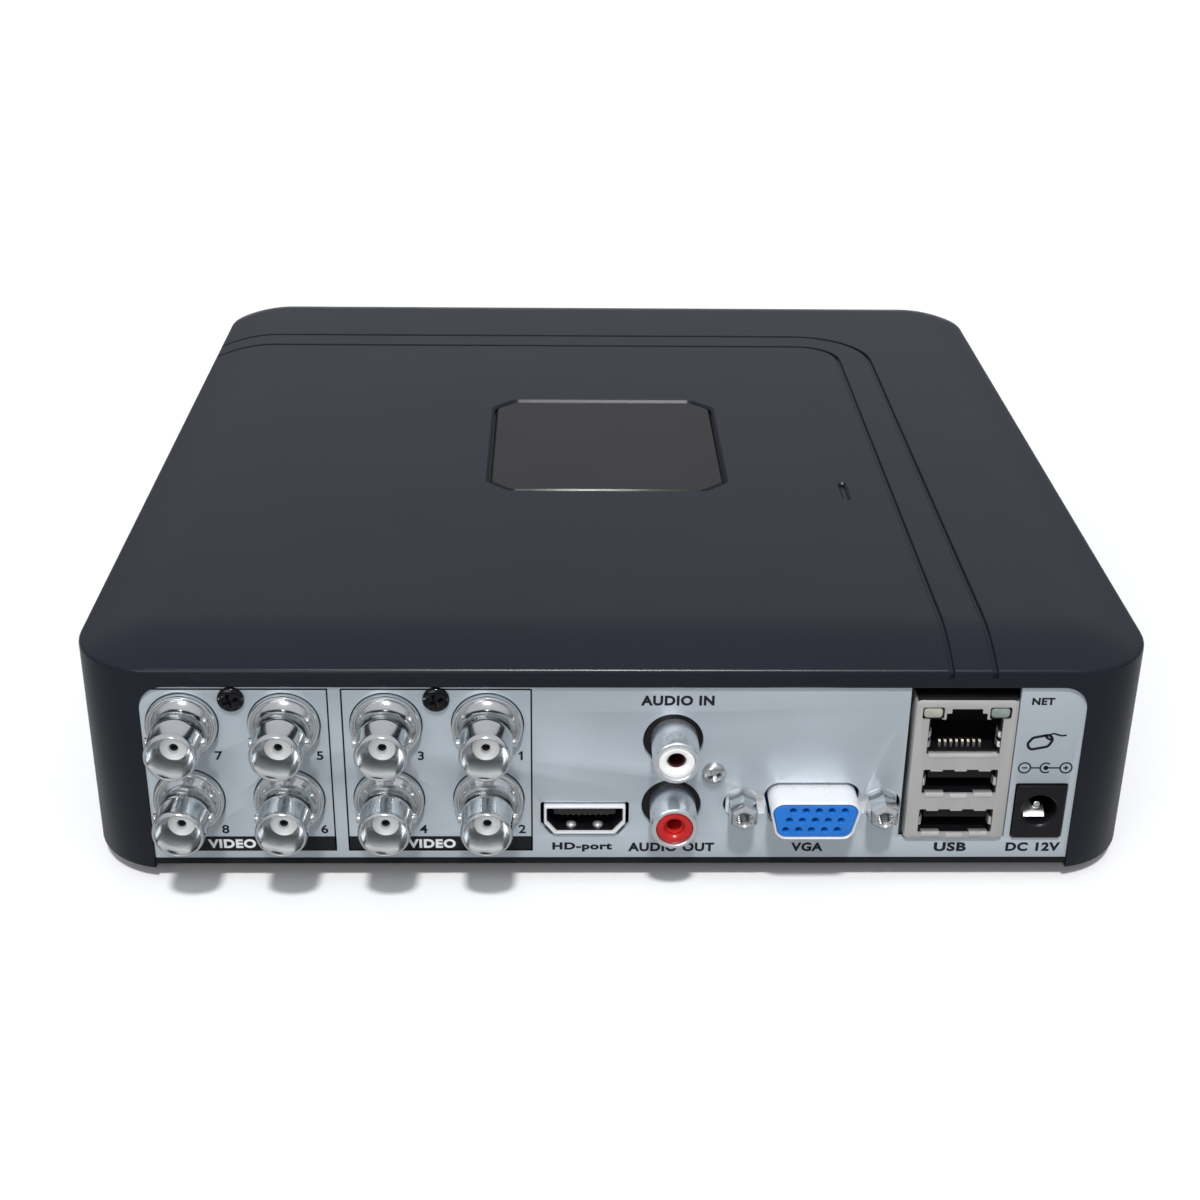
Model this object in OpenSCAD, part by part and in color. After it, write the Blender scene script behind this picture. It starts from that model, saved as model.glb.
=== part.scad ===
// Eight-channel video recorder: a flat plastic case over a steel tray, with its sockets in a rear
// panel and a hard disk inside. Millimetres, +Z up. The rear panel faces -Y and the front faces +Y.
// The origin is on the ground, under the middle of the whole recorder, video jacks included.

/* [Case] */
// Width of the case, along X
case_w = 190; // [188:1:200]
// Depth of the case, along Y
case_d = 200; // [198:1:210]
// Height of the cover, from its lower rim to the middle of its top
case_h = 44.5; // [44:0.5:48]
// Radius of the four upright corners
corner_r = 15; // [12:0.5:17]
// Thickness of the plastic walls
wall = 2; // [1.8:0.1:2.2]
// How far the top falls from its flat middle to its edges
crown = 3.5; // [2:0.1:4]
// Width of the border over which the top falls
crown_w = 15; // [12:0.5:18]
// Height of the cover's lower rim over the ground
rim_z = 2.5; // [2:0.1:3]

/* [Top] */
// Depth of the decorative grooves
groove_depth = 0.6; // [0.4:0.1:0.8]
// Width of the decorative grooves
groove_w = 0.8; // [0.6:0.1:1.2]
// X of the groove nearer the middle
groove_x = 58; // [54:0.5:60]
// Distance between the two grooves
groove_gap = 7.6; // [6:0.1:9]
// Distance of the inner groove's cross run from the rear face
groove_y = 160; // [150:0.5:165]
// Width of the badge recess, along X
badge_w = 49.2; // [44:0.2:52]
// Depth of the badge recess, along Y
badge_d = 51.4; // [46:0.2:54]
// Distance of the badge's middle from the rear face
badge_y = 96; // [90:0.5:105]

/* [Rear panel] */
// Half of the panel's width
panel_half = 82.6; // [82:0.1:83]
// Thickness of the panel
panel_t = 1; // [0.8:0.1:1.2]
// How far the panel is set in from the rear face of the cover
panel_inset = 0.6; // [0.4:0.1:0.8]
// Height of the strip of cover over the panel
panel_drop = 3.4; // [3:0.1:4]
// Radius of the panel's upper corners
panel_r = 4.5; // [3:0.5:6]

/* [Tray and feet] */
// Thickness of the steel tray
tray_t = 1.2; // [1:0.1:1.4]
// How far the tray is set up from the cover's lower rim
tray_up = 0.9; // [0.6:0.1:1.2]
// Radius of a rubber foot
foot_r = 6.5; // [5:0.5:7]

/* [Video jacks] */
// Distance between the columns of jacks
video_pitch = 17.7; // [17.4:0.1:17.8]
// X of the first column
video_x = -75.4; // [-75.6:0.1:-75.2]
// Height of the upper row
video_high_z = 32.5; // [32:0.1:33]
// Height of the lower row
video_low_z = 17.1; // [16.8:0.1:17.4]
// How far a jack's tip stands out from the rear face of the cover
video_reach = 11; // [10.5:0.1:12]
// Radius of a jack's barrel
barrel_r = 4.8; // [4.75:0.01:4.85]
// Radius of a jack's open mouth
mouth_r = 4.1; // [4.05:0.01:4.15]
// How far the insulator's face lies behind the tip
insulator_back = 3.6; // [3.4:0.1:4]

/* [Audio jacks] */
// X of the audio jacks
audio_x = 10.5; // [10:0.1:11]
// Height of the upper jack
audio_in_z = 29.1; // [28.8:0.1:29.4]
// Height of the lower jack
audio_out_z = 15.6; // [15.4:0.1:15.8]
// Outer radius of an audio sleeve
sleeve_r = 4.15; // [4.1:0.01:4.2]
// How far a sleeve stands out from the rear face of the cover
sleeve_reach = 6.8; // [6:0.1:7.5]
// Outer radius of a sleeve's thicker foot, behind the face of the panel
sleeve_foot_r = 4.6; // [4.4:0.1:4.8]

/* [Sockets] */
// X of the high-definition port
hd_x = -5.2; // [-5.4:0.1:-5]
// Height of the high-definition port's middle
hd_z = 13; // [12.8:0.1:13.2]
// X of the monitor socket
vga_x = 35.45; // [35:0.05:36]
// Height of the monitor socket's middle
vga_z = 16; // [15.8:0.1:16.2]
// Distance between the monitor socket's two hex posts
vga_post_gap = 24.99; // [24.9:0.01:25.1]
// X of the network and USB stack
can_x = 61.4; // [61.2:0.1:61.6]
// Width of the network and USB stack
can_w = 18.2; // [18:0.1:18.4]
// Height of the network and USB stack
can_h = 29.8; // [29.6:0.1:30]
// X of the power inlet
dc_x = 76.5; // [76.4:0.1:76.6]
// Height of the power inlet's hole
dc_z = 14.9; // [14.8:0.1:15]

/* [Hard disk] */
// Length of the hard disk, along X
drive_l = 147; // [146:0.1:147]
// Width of the hard disk, along Y
drive_w = 101.6; // [101:0.1:101.6]
// Height of the hard disk
drive_h = 26.1; // [25:0.1:26.1]
// Radius of the platter
platter_r = 47.5; // [46:0.1:47.6]
// Length of the head arm from its pivot to its head
arm_l = 48; // [47:0.5:48]

/* [Hidden] */

fine = 64;
medium = 32;
small = 16;
sliver = 0.01;
running = 0.05;
far = 300;

// Main planes of the case
y_rear = video_reach - (case_d + video_reach) / 2;
y_front = y_rear + case_d;
y_tip = y_rear - video_reach;
z_top = rim_z + case_h;
z_edge = z_top - crown;
edge_r = 0.9;
groove_turn_r = 9.6;
badge_deep = 1.2;
badge_cut = 5.6;

// Tray, panel and main board planes
tray_z = rim_z + tray_up;
tray_top = tray_z + tray_t;
panel_out = y_rear + panel_inset;
panel_in = panel_out + panel_t;
panel_top = z_edge - panel_drop;
board_gap = 2.8;
board_t = 1.6;
board_z = tray_top + board_gap;
board_top = board_z + board_t;
board_y0 = panel_in + 0.8;
board_y1 = -12.5;
board_x0 = -83.6;
board_x1 = 82.2;
foot_x = 70;
foot_y = [y_rear + 20, y_front - 24];

// Screw posts inside the cover
post_r = 3.5;
post_x = case_w / 2 - 7.5;
post_y = [y_rear + 17, y_front - 17];
pilot_r = 1.25;
web_l = 6.5;

// Window in the front wall
window_w = 60;
window_h = 8;
window_z = 20;
lip = 3;
lip_t = 1.2;
light_x = [-18, -10, -2];

// Video jacks: odd numbers are in the upper row and even ones below, counted from +X
video_columns = [for (i = [0:3]) video_x + i * video_pitch];
function jack_x(n) = video_columns[3 - floor((n - 1) / 2)];
function jack_z(n) = n % 2 == 1 ? video_high_z : video_low_z;
video_block_w = 32.2;
video_block_d = 22;
video_block_top = 40;
flange_r = 6.35;
tail_r = 5.4;
insulator_r = 2.75;

// Network and USB stack
can_out = panel_out - 0.8;
can_back = panel_in + 20;
can_t = 0.4;
net_w = 12.4;
net_z0 = board_top + 18.7;
net_h = 6.3;
usb_w = 12.8;
usb_h = 5;
usb_z = [board_top + 1.5, board_top + 9.8];
light_z = net_z0 + net_h + 1.3;
light_off = 6.5;
light_w = 3.4;
light_h = 2;

// Monitor socket
vga_top_w = 16.3;
vga_low_w = 14.5;
vga_h = 7.9;
vga_out = panel_out - 5.6;
vga_t = 0.45;

// Hard disk, lying across the case with its long side along X
drive_x0 = -drive_l / 2;
drive_y0 = board_y1 + 4.5;
drive_up = 2;
drive_z0 = tray_top + drive_up;
drive_z1 = drive_z0 + drive_h;
lid_t = 1;
drive_floor = drive_z0 + 5.4;
spindle = [-23, drive_y0 + drive_w / 2];
spindle_r = 4;
hub_r = 12.5;
platter_z = drive_floor + 8;
platter_t = 1.3;
arm_pivot = [44, spindle[1] + 9.2];
arm_post_r = 2.5;
arm_park = 142;
arm_z = platter_z + platter_t + 1;
drive_hole = [[drive_x0 + 28, drive_y0 + 3.2], [drive_x0 + 116, drive_y0 + 3.2],
              [drive_x0 + 28, drive_y0 + drive_w - 3.2], [drive_x0 + 116, drive_y0 + drive_w - 3.2]];

// Colours
black_plastic = [0.2, 0.21, 0.24];
gloss_black = [0.08, 0.08, 0.09];
silver_paint = [0.72, 0.75, 0.78];
nickel = [0.8, 0.81, 0.82];
steel = [0.62, 0.63, 0.65];
board_green = [0.05, 0.32, 0.17];
gold = [0.85, 0.66, 0.27];

// Outline of a rectangle with round corners, from its lower left and upper right points
function round_rect(a, b, r, n = 8) = [
    for (c = [[b[0] - r, b[1] - r, 0], [a[0] + r, b[1] - r, 90],
              [a[0] + r, a[1] + r, 180], [b[0] - r, a[1] + r, 270]])
    for (i = [0:n]) [c[0] + r * cos(c[2] + 90 * i / n), c[1] + r * sin(c[2] + 90 * i / n)]
];

// Outline of the case, drawn in by a distance
function case_outline(e) = round_rect(
    [-case_w / 2 + e, y_rear + e], [case_w / 2 - e, y_front - e], max(corner_r - e, 0.8));

// Height of the top over its edge, at a distance in from the edge
function top_z(e) = z_top - crown * pow(max(0, 1 - e / crown_w), 2);

// Flat shape standing on z0 and reaching to z1
module slab(points, z0, z1) {
    translate([0, 0, z0]) linear_extrude(z1 - z0) polygon(points);
}

// Box between two corners
module block(a, b) {
    translate(a) cube(b - a);
}

// Round rod along Y
module rod_y(x, z, r, y0, y1, fn = medium) {
    translate([x, y1, z]) rotate([90, 0, 0]) cylinder(h = y1 - y0, r = r, $fn = fn);
}

// Flat shape in the XZ plane, reaching from y0 to y1
module plate_y(points, y0, y1) {
    translate([0, y1, 0]) rotate([90, 0, 0]) linear_extrude(y1 - y0) polygon(points);
}

// Body of revolution along Y, from a list of [radius, distance out of the panel]
module turned_y(x, z, profile, fn = fine) {
    translate([x, 0, z]) rotate([90, 0, 0]) rotate_extrude($fn = fn) polygon(profile);
}

// Cross-head screw along Y, its head's outer face at y0
module screw_y(x, z, head_r, head_h, shank_r, y0, length) {
    difference() {
        union() {
            turned_y(x, z, [[0, -y0 - head_h], [head_r, -y0 - head_h], [head_r, -y0 - head_h * 0.5],
                            [head_r * 0.75, -y0 - head_h * 0.12], [head_r * 0.4, -y0], [0, -y0]], medium);
            rod_y(x, z, shank_r, y0 + head_h - sliver, y0 + head_h + length, small);
        }
        for (a = [0, 90])
            translate([x, y0, z]) rotate([0, a, 0])
                block([-head_r * 0.55, -sliver, -0.25], [head_r * 0.55, head_h * 0.6, 0.25]);
    }
}

// Cross-head screw along Z, with its head's outer face at z0. up is 1 for a shank that points up
module screw_z(x, y, head_r, head_h, shank_r, z0, length, up = 1) {
    translate([x, y, z0]) rotate([up > 0 ? 0 : 180, 0, 0]) difference() {
        union() {
            rotate_extrude($fn = medium)
                polygon([[0, head_h], [head_r, head_h], [head_r, head_h * 0.5],
                         [head_r * 0.75, head_h * 0.12], [head_r * 0.4, 0], [0, 0]]);
            translate([0, 0, head_h - sliver]) cylinder(h = length, r = shank_r, $fn = small);
        }
        for (a = [0, 90])
            rotate([0, 0, a]) block([-head_r * 0.55, -0.25, -sliver], [head_r * 0.55, 0.25, head_h * 0.6]);
    }
}

// Closed solid of the cover's outer shape, drawn in by e and lowered by drop
module case_solid(e, drop, z0) {
    steps = 7;
    hull() {
        slab(case_outline(e), z0, z_edge - edge_r - drop);
        slab(case_outline(e + edge_r * 0.3), z0, z_edge - edge_r * 0.3 - drop);
        for (i = [0:steps])
            let (inset = edge_r + (crown_w - edge_r) * i / steps)
                slab(case_outline(e + inset), z0, top_z(inset) - drop);
    }
}

// Region on the near side of an L-shaped line that turns round the groove's corner centre
module groove_side(r) {
    cx = groove_x - groove_turn_r;
    cy = y_rear + groove_y - groove_turn_r;
    polygon(concat([[-far, -far], [cx + r, -far]],
        [for (a = [0:7.5:90]) [cx + r * cos(a), cy + r * sin(a)]], [[-far, cy + r]]));
}

module groove_lines() {
    for (r = [groove_turn_r, groove_turn_r + groove_gap])
        difference() {
            groove_side(r + groove_w / 2);
            groove_side(r - groove_w / 2);
        }
}

// Rear opening of the cover, with room all round for the panel
module panel_opening() {
    gap = 0.2;
    plate_y(concat([[-panel_half - gap, 0], [panel_half + gap, 0]],
        [for (s = [1, -1]) for (i = [0:8])
            let (a = s > 0 ? 90 * i / 8 : 90 + 90 * i / 8)
                [s * (panel_half - panel_r) + (panel_r + gap) * cos(a),
                 panel_top - panel_r + (panel_r + gap) * sin(a)]]),
        y_rear - 1, y_rear + wall + 1);
}

module top_cover() {
    color(black_plastic) {
        difference() {
            union() {
                difference() {
                    case_solid(0, 0, rim_z);
                    translate([0, 0, z_edge - 1.5]) linear_extrude(far) groove_lines();
                }
                intersection() {
                    case_solid(0, groove_depth, rim_z);
                    translate([0, 0, z_edge - 2]) linear_extrude(far) groove_lines();
                }
            }
            case_solid(wall, wall, rim_z - 1);
            panel_opening();
            slab(badge_outline(0), z_top - badge_deep, far);
            tick_mark();
            block([-window_w / 2, y_front - wall - 1, window_z - window_h / 2],
                  [window_w / 2, y_front + 1, window_z + window_h / 2]);
        }
        cover_posts();
        indicator_posts();
    }
}

// Outline of the badge recess with its corners cut off, drawn in by a distance
function badge_outline(e) = round_rect(
    [-badge_w / 2 + e, y_rear + badge_y - badge_d / 2 + e],
    [badge_w / 2 - e, y_rear + badge_y + badge_d / 2 - e], badge_cut - 0.6 * e, 1);

// Short slot beside the grooves
module tick_mark() {
    block([48.1, y_rear + 65.8, z_top - 0.8], [49, y_rear + 74.3, far]);
}

// Posts that the cover screws go into, each with a web to the side wall
module cover_posts() {
    for (side = [-1, 1], y = post_y)
        difference() {
            union() {
                translate([side * post_x, y, tray_top])
                    cylinder(h = top_z(4) - wall - tray_top + 1.8, r = post_r, $fn = medium);
                translate([side * post_x, y, 0])
                    block([min(0, side * web_l), -0.8, tray_top + 6],
                          [max(0, side * web_l), 0.8, z_edge - 4]);
            }
            translate([side * post_x, y, tray_top - 1]) cylinder(h = 13, r = pilot_r, $fn = small);
        }
}

// Pegs behind the front wall that carry the indicator board
module indicator_posts() {
    for (side = [-1, 1])
        difference() {
            rod_y(side * 37, window_z, 2.4, y_front - 5.9, y_front - wall + 0.5);
            rod_y(side * 37, window_z, 1, y_front - 6.5, y_front - 2.5, small);
        }
}

module badge_plate() {
    color(gloss_black) slab(badge_outline(0.3), z_top - badge_deep, z_top - 0.2);
}

// Smoked window, with a lip that holds it behind the front wall
module front_window() {
    gap = 0.15;
    color([0.12, 0.1, 0.11]) {
        block([-window_w / 2 + gap, y_front - wall, window_z - window_h / 2 + gap],
              [window_w / 2 - gap, y_front - 0.3, window_z + window_h / 2 - gap]);
        block([-window_w / 2 - lip, y_front - wall - lip_t, window_z - window_h / 2 - lip],
              [window_w / 2 + lip, y_front - wall, window_z + window_h / 2 + lip]);
    }
}

module base_tray() {
    gap = 0.3;
    color([0.1, 0.1, 0.11])
        difference() {
            union() {
                slab(case_outline(wall + gap), tray_z, tray_top);
                block([-panel_half, panel_out, tray_z], [panel_half, y_rear + wall + 2, tray_top]);
                for (side = [-1, 1])
                    translate([side * (case_w / 2 - wall - gap - tray_t / 2), 0, 0])
                        block([-tray_t / 2, y_rear + 26, tray_z], [tray_t / 2, y_front - 26, tray_top + 6]);
                for (p = drive_hole)
                    translate([p[0], p[1], tray_top - sliver])
                        cylinder(h = drive_up + sliver, r = 4.5, $fn = medium);
            }
            for (side = [-1, 1], y = post_y)
                translate([side * post_x, y, 0]) cylinder(h = 20, r = 1.6, $fn = small);
            for (p = drive_hole)
                translate([p[0], p[1], 0]) cylinder(h = 20, r = 1.9, $fn = small);
            tray_vents();
        }
}

// Rows of air slots under the main board and under the disk
module tray_vents() {
    pitch = 7;
    slot_w = 3;
    slot_l = 26;
    for (row = [y_rear + 42, y_front - 62], i = [-6:6])
        block([i * pitch - slot_w / 2, row - slot_l / 2, 0], [i * pitch + slot_w / 2, row + slot_l / 2, 20]);
}

// Outline of the monitor socket's D shape, wide side up, grown by g
function vga_outline(g) = let (
        t = vga_top_w / 2 + g, l = vga_low_w / 2 + g, h = vga_h / 2 + g, r = 2.2 + g,
        corners = [[t - r, h - r, 0, 95], [-t + r, h - r, 85, 180],
                   [-l + r, -h + r, 180, 275], [l - r, -h + r, 265, 360]])
    [for (c = corners) for (i = [0:6])
        let (a = c[2] + (c[3] - c[2]) * i / 6) [vga_x + c[0] + r * cos(a), vga_z + c[1] + r * sin(a)]];

// Outline of the high-definition port, lower corners cut off, grown by g
function hd_outline(g) = let (w = 7.2 + g, t = 2.75 + g, l = 2.75 + g)
    [[hd_x - w, hd_z + t], [hd_x - w, hd_z - l + 2.2], [hd_x - w + 0.8, hd_z - l + 1.4],
     [hd_x - w + 2.2, hd_z - l], [hd_x + w - 2.2, hd_z - l], [hd_x + w - 0.8, hd_z - l + 1.4],
     [hd_x + w, hd_z - l + 2.2], [hd_x + w, hd_z + t]];

module rear_panel() {
    y0 = panel_out - 1;
    y1 = panel_in + 1;
    color(silver_paint) {
        difference() {
            plate_y(concat([[-panel_half, tray_top], [panel_half, tray_top]],
                [for (s = [1, -1]) for (i = [0:8])
                    let (a = s > 0 ? 90 * i / 8 : 90 + 90 * i / 8)
                        [s * (panel_half - panel_r) + panel_r * cos(a),
                         panel_top - panel_r + panel_r * sin(a)]]),
                panel_out, panel_in);
            for (n = [1:8]) rod_y(jack_x(n), jack_z(n), flange_r + 0.2, y0, y1, fine);
            for (z = [audio_in_z, audio_out_z]) rod_y(audio_x, z, 5.2, y0, y1, fine);
            for (side = [0, 1])
                rod_y(video_x + video_pitch * (0.5 + 2 * side), video_screw_z(), 1.5, y0, y1, small);
            rod_y(audio_screw_x(), audio_screw_z(), 1.5, y0, y1, small);
            plate_y(hd_outline(0.7), y0, y1);
            plate_y(vga_outline(0.7), y0, y1);
            for (side = [-1, 1]) rod_y(vga_x + side * vga_post_gap / 2, vga_z, 1.6, y0, y1, small);
            block([can_x - can_w / 2 - 0.8, y0, board_top - 0.1], [can_x + can_w / 2 + 0.2, y1, far]);
            block([dc_x - 4.7, y0, board_top - 0.1], [dc_x + 4.7, y1, board_top + 11.4]);
        }
        block([-panel_half + 2, panel_in - sliver, tray_top],
              [panel_half - 2, panel_in + 7, tray_top + 0.9]);
    }
}

module rubber_feet() {
    color([0.09, 0.09, 0.09])
        for (side = [-1, 1], y = foot_y)
            translate([side * foot_x, y, 0]) rotate_extrude($fn = fine)
                polygon([[0, 0], [foot_r - 0.8, 0], [foot_r - 0.2, 0.3], [foot_r, 1],
                         [foot_r, tray_z], [0, tray_z]]);
}

module cover_screws() {
    color(gloss_black)
        for (side = [-1, 1], y = post_y)
            screw_z(side * post_x, y, 2.9, 1.6, pilot_r - running, tray_z - 1.6, 11);
}

function video_screw_z() = video_block_top - 2.3;
function audio_screw_x() = audio_x + 7.1;
function audio_screw_z() = audio_in_z - 6.3;

module video_screws() {
    color(gloss_black)
        for (side = [0, 1])
            screw_y(video_x + video_pitch * (0.5 + 2 * side), video_screw_z(), 2.35, 1.1, 1.2,
                    panel_out - 1.1, 8);
}

module audio_screw() {
    color(steel) screw_y(audio_screw_x(), audio_screw_z(), 2.1, 1.5, 1.2, panel_out - 1.5, 5);
}

standoff_places = [[-52, -62], [-52, -18], [0, -70], [0, -18], [60, -62], [60, -18]];

module main_board() {
    color(board_green)
        difference() {
            block([board_x0, board_y0, board_z], [board_x1, board_y1, board_top]);
            for (p = standoff_places) translate([p[0], p[1], 0]) cylinder(h = 20, r = 1.7, $fn = small);
        }
}

module board_standoffs() {
    color(gold)
        for (p = standoff_places)
            translate([p[0], p[1], tray_top])
                difference() {
                    cylinder(h = board_gap, r = 2.9, $fn = 6);
                    translate([0, 0, 0.6]) cylinder(h = board_gap, r = 1.25, $fn = small);
                }
}

module board_screws() {
    color(steel) {
        for (p = standoff_places)
            screw_z(p[0], p[1], 2.8, 1.6, 1.2, board_top + 1.6, 3.4, -1);
        for (side = [-1, 1])
            screw_y(side * 37, window_z, 1.9, 1.1, 0.95, y_front - 8.6, 4);
    }
}

// Profile of a video jack: flange in the panel, cone, neck, then the barrel with its rim
function jack_profile() = let (
        tip = -y_tip, face = -panel_out, back = -panel_in)
    [[0, back - 12], [tail_r, back - 12], [tail_r, back], [flange_r, back], [flange_r, face + 0.7],
     [flange_r - 0.5, face + 1], [flange_r - 0.9, face + 1], [flange_r - 1.1, face + 0.6],
     [5, face + 1.1], [4.3, face + 2.6], [4.3, tip - 6.6], [barrel_r, tip - 6.1],
     [barrel_r, tip - 0.25], [barrel_r - 0.2, tip], [mouth_r, tip], [mouth_r, tip - insulator_back],
     [0, tip - insulator_back]];

module video_jack(n) {
    lug_y = y_tip + 5.6;
    color(nickel)
        difference() {
            union() {
                turned_y(jack_x(n), jack_z(n), jack_profile());
                for (side = [-1, 1])
                    translate([jack_x(n) + side * (barrel_r - 0.4), lug_y, jack_z(n)])
                        rotate([0, side * 90, 0]) cylinder(h = 1.2, r = 0.95, $fn = small);
            }
            rod_y(jack_x(n), jack_z(n), insulator_r + running, y_tip + 1, panel_in + 8);
        }
}

module video_insulators() {
    color([0.93, 0.93, 0.92])
        for (n = [1:8])
            difference() {
                rod_y(jack_x(n), jack_z(n), insulator_r, y_tip + insulator_back, panel_in + 8);
                rod_y(jack_x(n), jack_z(n), 0.75, y_tip, panel_in + 6, small);
            }
}

module video_contacts() {
    color(gold)
        for (n = [1:8])
            difference() {
                rod_y(jack_x(n), jack_z(n), 0.7, y_tip + insulator_back + 0.3, panel_in + 6, small);
                rod_y(jack_x(n), jack_z(n), 0.45, y_tip, y_tip + insulator_back + 5, small);
            }
}

// Moulded block that holds four video jacks. side is 0 for the pair at -X
module video_housing(side) {
    middle = video_x + video_pitch * (0.5 + 2 * side);
    color([0.07, 0.07, 0.08])
        difference() {
            block([middle - video_block_w / 2, panel_in, board_top],
                  [middle + video_block_w / 2, panel_in + video_block_d, video_block_top]);
            for (n = [1:8])
                rod_y(jack_x(n), jack_z(n), tail_r + 0.1, panel_in - 1, panel_in + 12.1, fine);
            rod_y(middle, video_screw_z(), 1.25, panel_in - 1, panel_in + 9, small);
        }
}

module audio_housing() {
    color([0.06, 0.06, 0.07])
        difference() {
            union() {
                block([audio_x - 6.2, panel_in, board_top],
                      [audio_x + 6.2, panel_in + 14, audio_in_z + 6.6]);
                block([audio_x + 6, panel_in, audio_screw_z() - 3.5],
                      [audio_x + 9.3, panel_in + 7, audio_screw_z() + 3.5]);
            }
            for (z = [audio_in_z, audio_out_z])
                rod_y(audio_x, z, sleeve_foot_r + running, panel_in - 1, panel_in + 8.05);
            rod_y(audio_screw_x(), audio_screw_z(), 1.25, panel_in - 1, panel_in + 6, small);
        }
}

module audio_sleeve(z) {
    tip = y_rear - sleeve_reach;
    color(nickel)
        turned_y(audio_x, z, [[3.4, -panel_in - 8], [sleeve_foot_r, -panel_in - 8],
                              [sleeve_foot_r, -panel_out], [sleeve_r, -panel_out],
                              [sleeve_r, -tip - 0.3], [sleeve_r - 0.3, -tip], [3.55, -tip],
                              [3.4, -tip - 0.2]]);
}

module audio_in_sleeve() audio_sleeve(audio_in_z);
module audio_out_sleeve() audio_sleeve(audio_out_z);

module audio_insulator(z, tint) {
    tip = y_rear - sleeve_reach;
    color(tint)
        turned_y(audio_x, z, [[0, -panel_in - 8], [3.35, -panel_in - 8], [3.35, -tip - 0.6],
                              [2.9, -tip - 0.3], [2, -tip - 0.3], [1.65, -tip - 0.6],
                              [1.65, -tip - 6], [0, -tip - 6]]);
}

module audio_in_insulator() audio_insulator(audio_in_z, [0.92, 0.92, 0.9]);
module audio_out_insulator() audio_insulator(audio_out_z, [0.75, 0.08, 0.08]);

// Sheet-metal shell of the port, on four legs that stand on the board
module hd_port_shell() {
    color(steel) {
        difference() {
            plate_y(hd_outline(0.45), panel_out - 0.6, panel_in + 11);
            plate_y(hd_outline(0), panel_out - 1.6, panel_in + 10.5);
        }
        for (side = [-1, 1], y = [panel_in + 2.5, panel_in + 8])
            translate([hd_x + side * 7.45, y, 0]) block([-0.2, -0.8, board_top], [0.2, 0.8, hd_z]);
    }
}

module hd_port_tongue() {
    color([0.05, 0.05, 0.06]) {
        block([hd_x - 5.6, panel_out + 0.8, hd_z - 0.2], [hd_x + 5.6, panel_in + 8, hd_z + 1.3]);
        plate_y(hd_outline(-0.05), panel_in + 8 - sliver, panel_in + 10.5);
    }
}

module vga_shell() {
    color(steel)
        difference() {
            union() {
                plate_y(vga_outline(0), vga_out, panel_in + 1);
                block([vga_x - 15.4, panel_in, vga_z - 6.2], [vga_x + 15.4, panel_in + 1, vga_z + 6.2]);
            }
            plate_y(vga_outline(-vga_t), vga_out - 1, panel_in + 2);
            for (side = [-1, 1])
                rod_y(vga_x + side * vga_post_gap / 2, vga_z, 1.6, panel_in - 1, panel_in + 2, small);
        }
}

// Blue core with three rows of five contact holes, and its block behind the flange
module vga_insert() {
    color([0.1, 0.3, 0.75])
        difference() {
            union() {
                plate_y(vga_outline(-vga_t - 0.05), vga_out + 0.5, panel_in + 1);
                block([vga_x - 9, panel_in + 1, board_top], [vga_x + 9, panel_in + 12, vga_z + 5]);
            }
            for (row = [-1:1], i = [-2:2])
                rod_y(vga_x + i * 2.29 + row * 0.57, vga_z + row * 1.98, 0.5,
                      vga_out - 1, vga_out + 4, small);
        }
}

// Hex posts that clamp the monitor socket to the panel, threaded for the plug's screws
module vga_hex_posts() {
    color(nickel)
        for (side = [-1, 1])
            let (x = vga_x + side * vga_post_gap / 2)
                difference() {
                    union() {
                        translate([x, panel_out, vga_z]) rotate([90, 30, 0])
                            cylinder(h = 5, r = 2.75, $fn = 6);
                        rod_y(x, vga_z, 1.5, panel_out - sliver, panel_in + 4, small);
                    }
                    rod_y(x, vga_z, 1.2, panel_out - 6, panel_out - 0.5, medium);
                }
}

// Opening for a network plug: a wide slot with two steps above it for the latch, grown by g
module net_slot(g, y0, y1) {
    block([can_x - net_w / 2 - g, y0, net_z0 - g], [can_x + net_w / 2 + g, y1, net_z0 + net_h + g]);
    block([can_x - 3.6 - g, y0, net_z0], [can_x + 3.6 + g, y1, net_z0 + net_h + 1.2 + g]);
    block([can_x - 2.7 - g, y0, net_z0], [can_x + 2.7 + g, y1, net_z0 + net_h + 2.2 + g]);
}

module usb_slots(g, y0, y1) {
    for (z = usb_z)
        block([can_x - usb_w / 2 - g, y0, z - g], [can_x + usb_w / 2 + g, y1, z + usb_h + g]);
}

module net_light_window(side, g, y0, y1) {
    block([can_x + side * light_off - light_w / 2 - g, y0, light_z - light_h / 2 - g],
          [can_x + side * light_off + light_w / 2 + g, y1, light_z + light_h / 2 + g]);
}

// Outer box of the stack, drawn in by e
module can_box(e, y0, y1) {
    block([can_x - can_w / 2 + e, y0, board_top + e], [can_x + can_w / 2 - e, y1, board_top + can_h - e]);
}

module net_usb_can() {
    color(steel)
        difference() {
            can_box(0, can_out, can_back);
            can_box(can_t, can_out + can_t, can_back - can_t);
            net_slot(0, can_out - 1, can_out + 1);
            usb_slots(0, can_out - 1, can_out + 1);
            for (side = [-1, 1]) net_light_window(side, 0.05, can_out - 1, can_out + 1);
        }
}

// Black core of the stack: the network socket's walls, and a tongue in each USB slot
module net_usb_insert() {
    y0 = can_out + can_t;
    color([0.05, 0.05, 0.06]) {
        difference() {
            can_box(can_t, y0, can_back - can_t);
            net_slot(0, y0 - 1, y0 + 10);
            usb_slots(-0.1, y0 - 1, y0 + 13);
            for (side = [-1, 1]) net_light_window(side, 0.05, y0 - 1, y0 + 3);
        }
        for (z = usb_z)
            block([can_x - 5.6, y0 + 0.6, z + 2.8], [can_x + 5.6, y0 + 13.5, z + 4.4]);
    }
}

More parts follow.
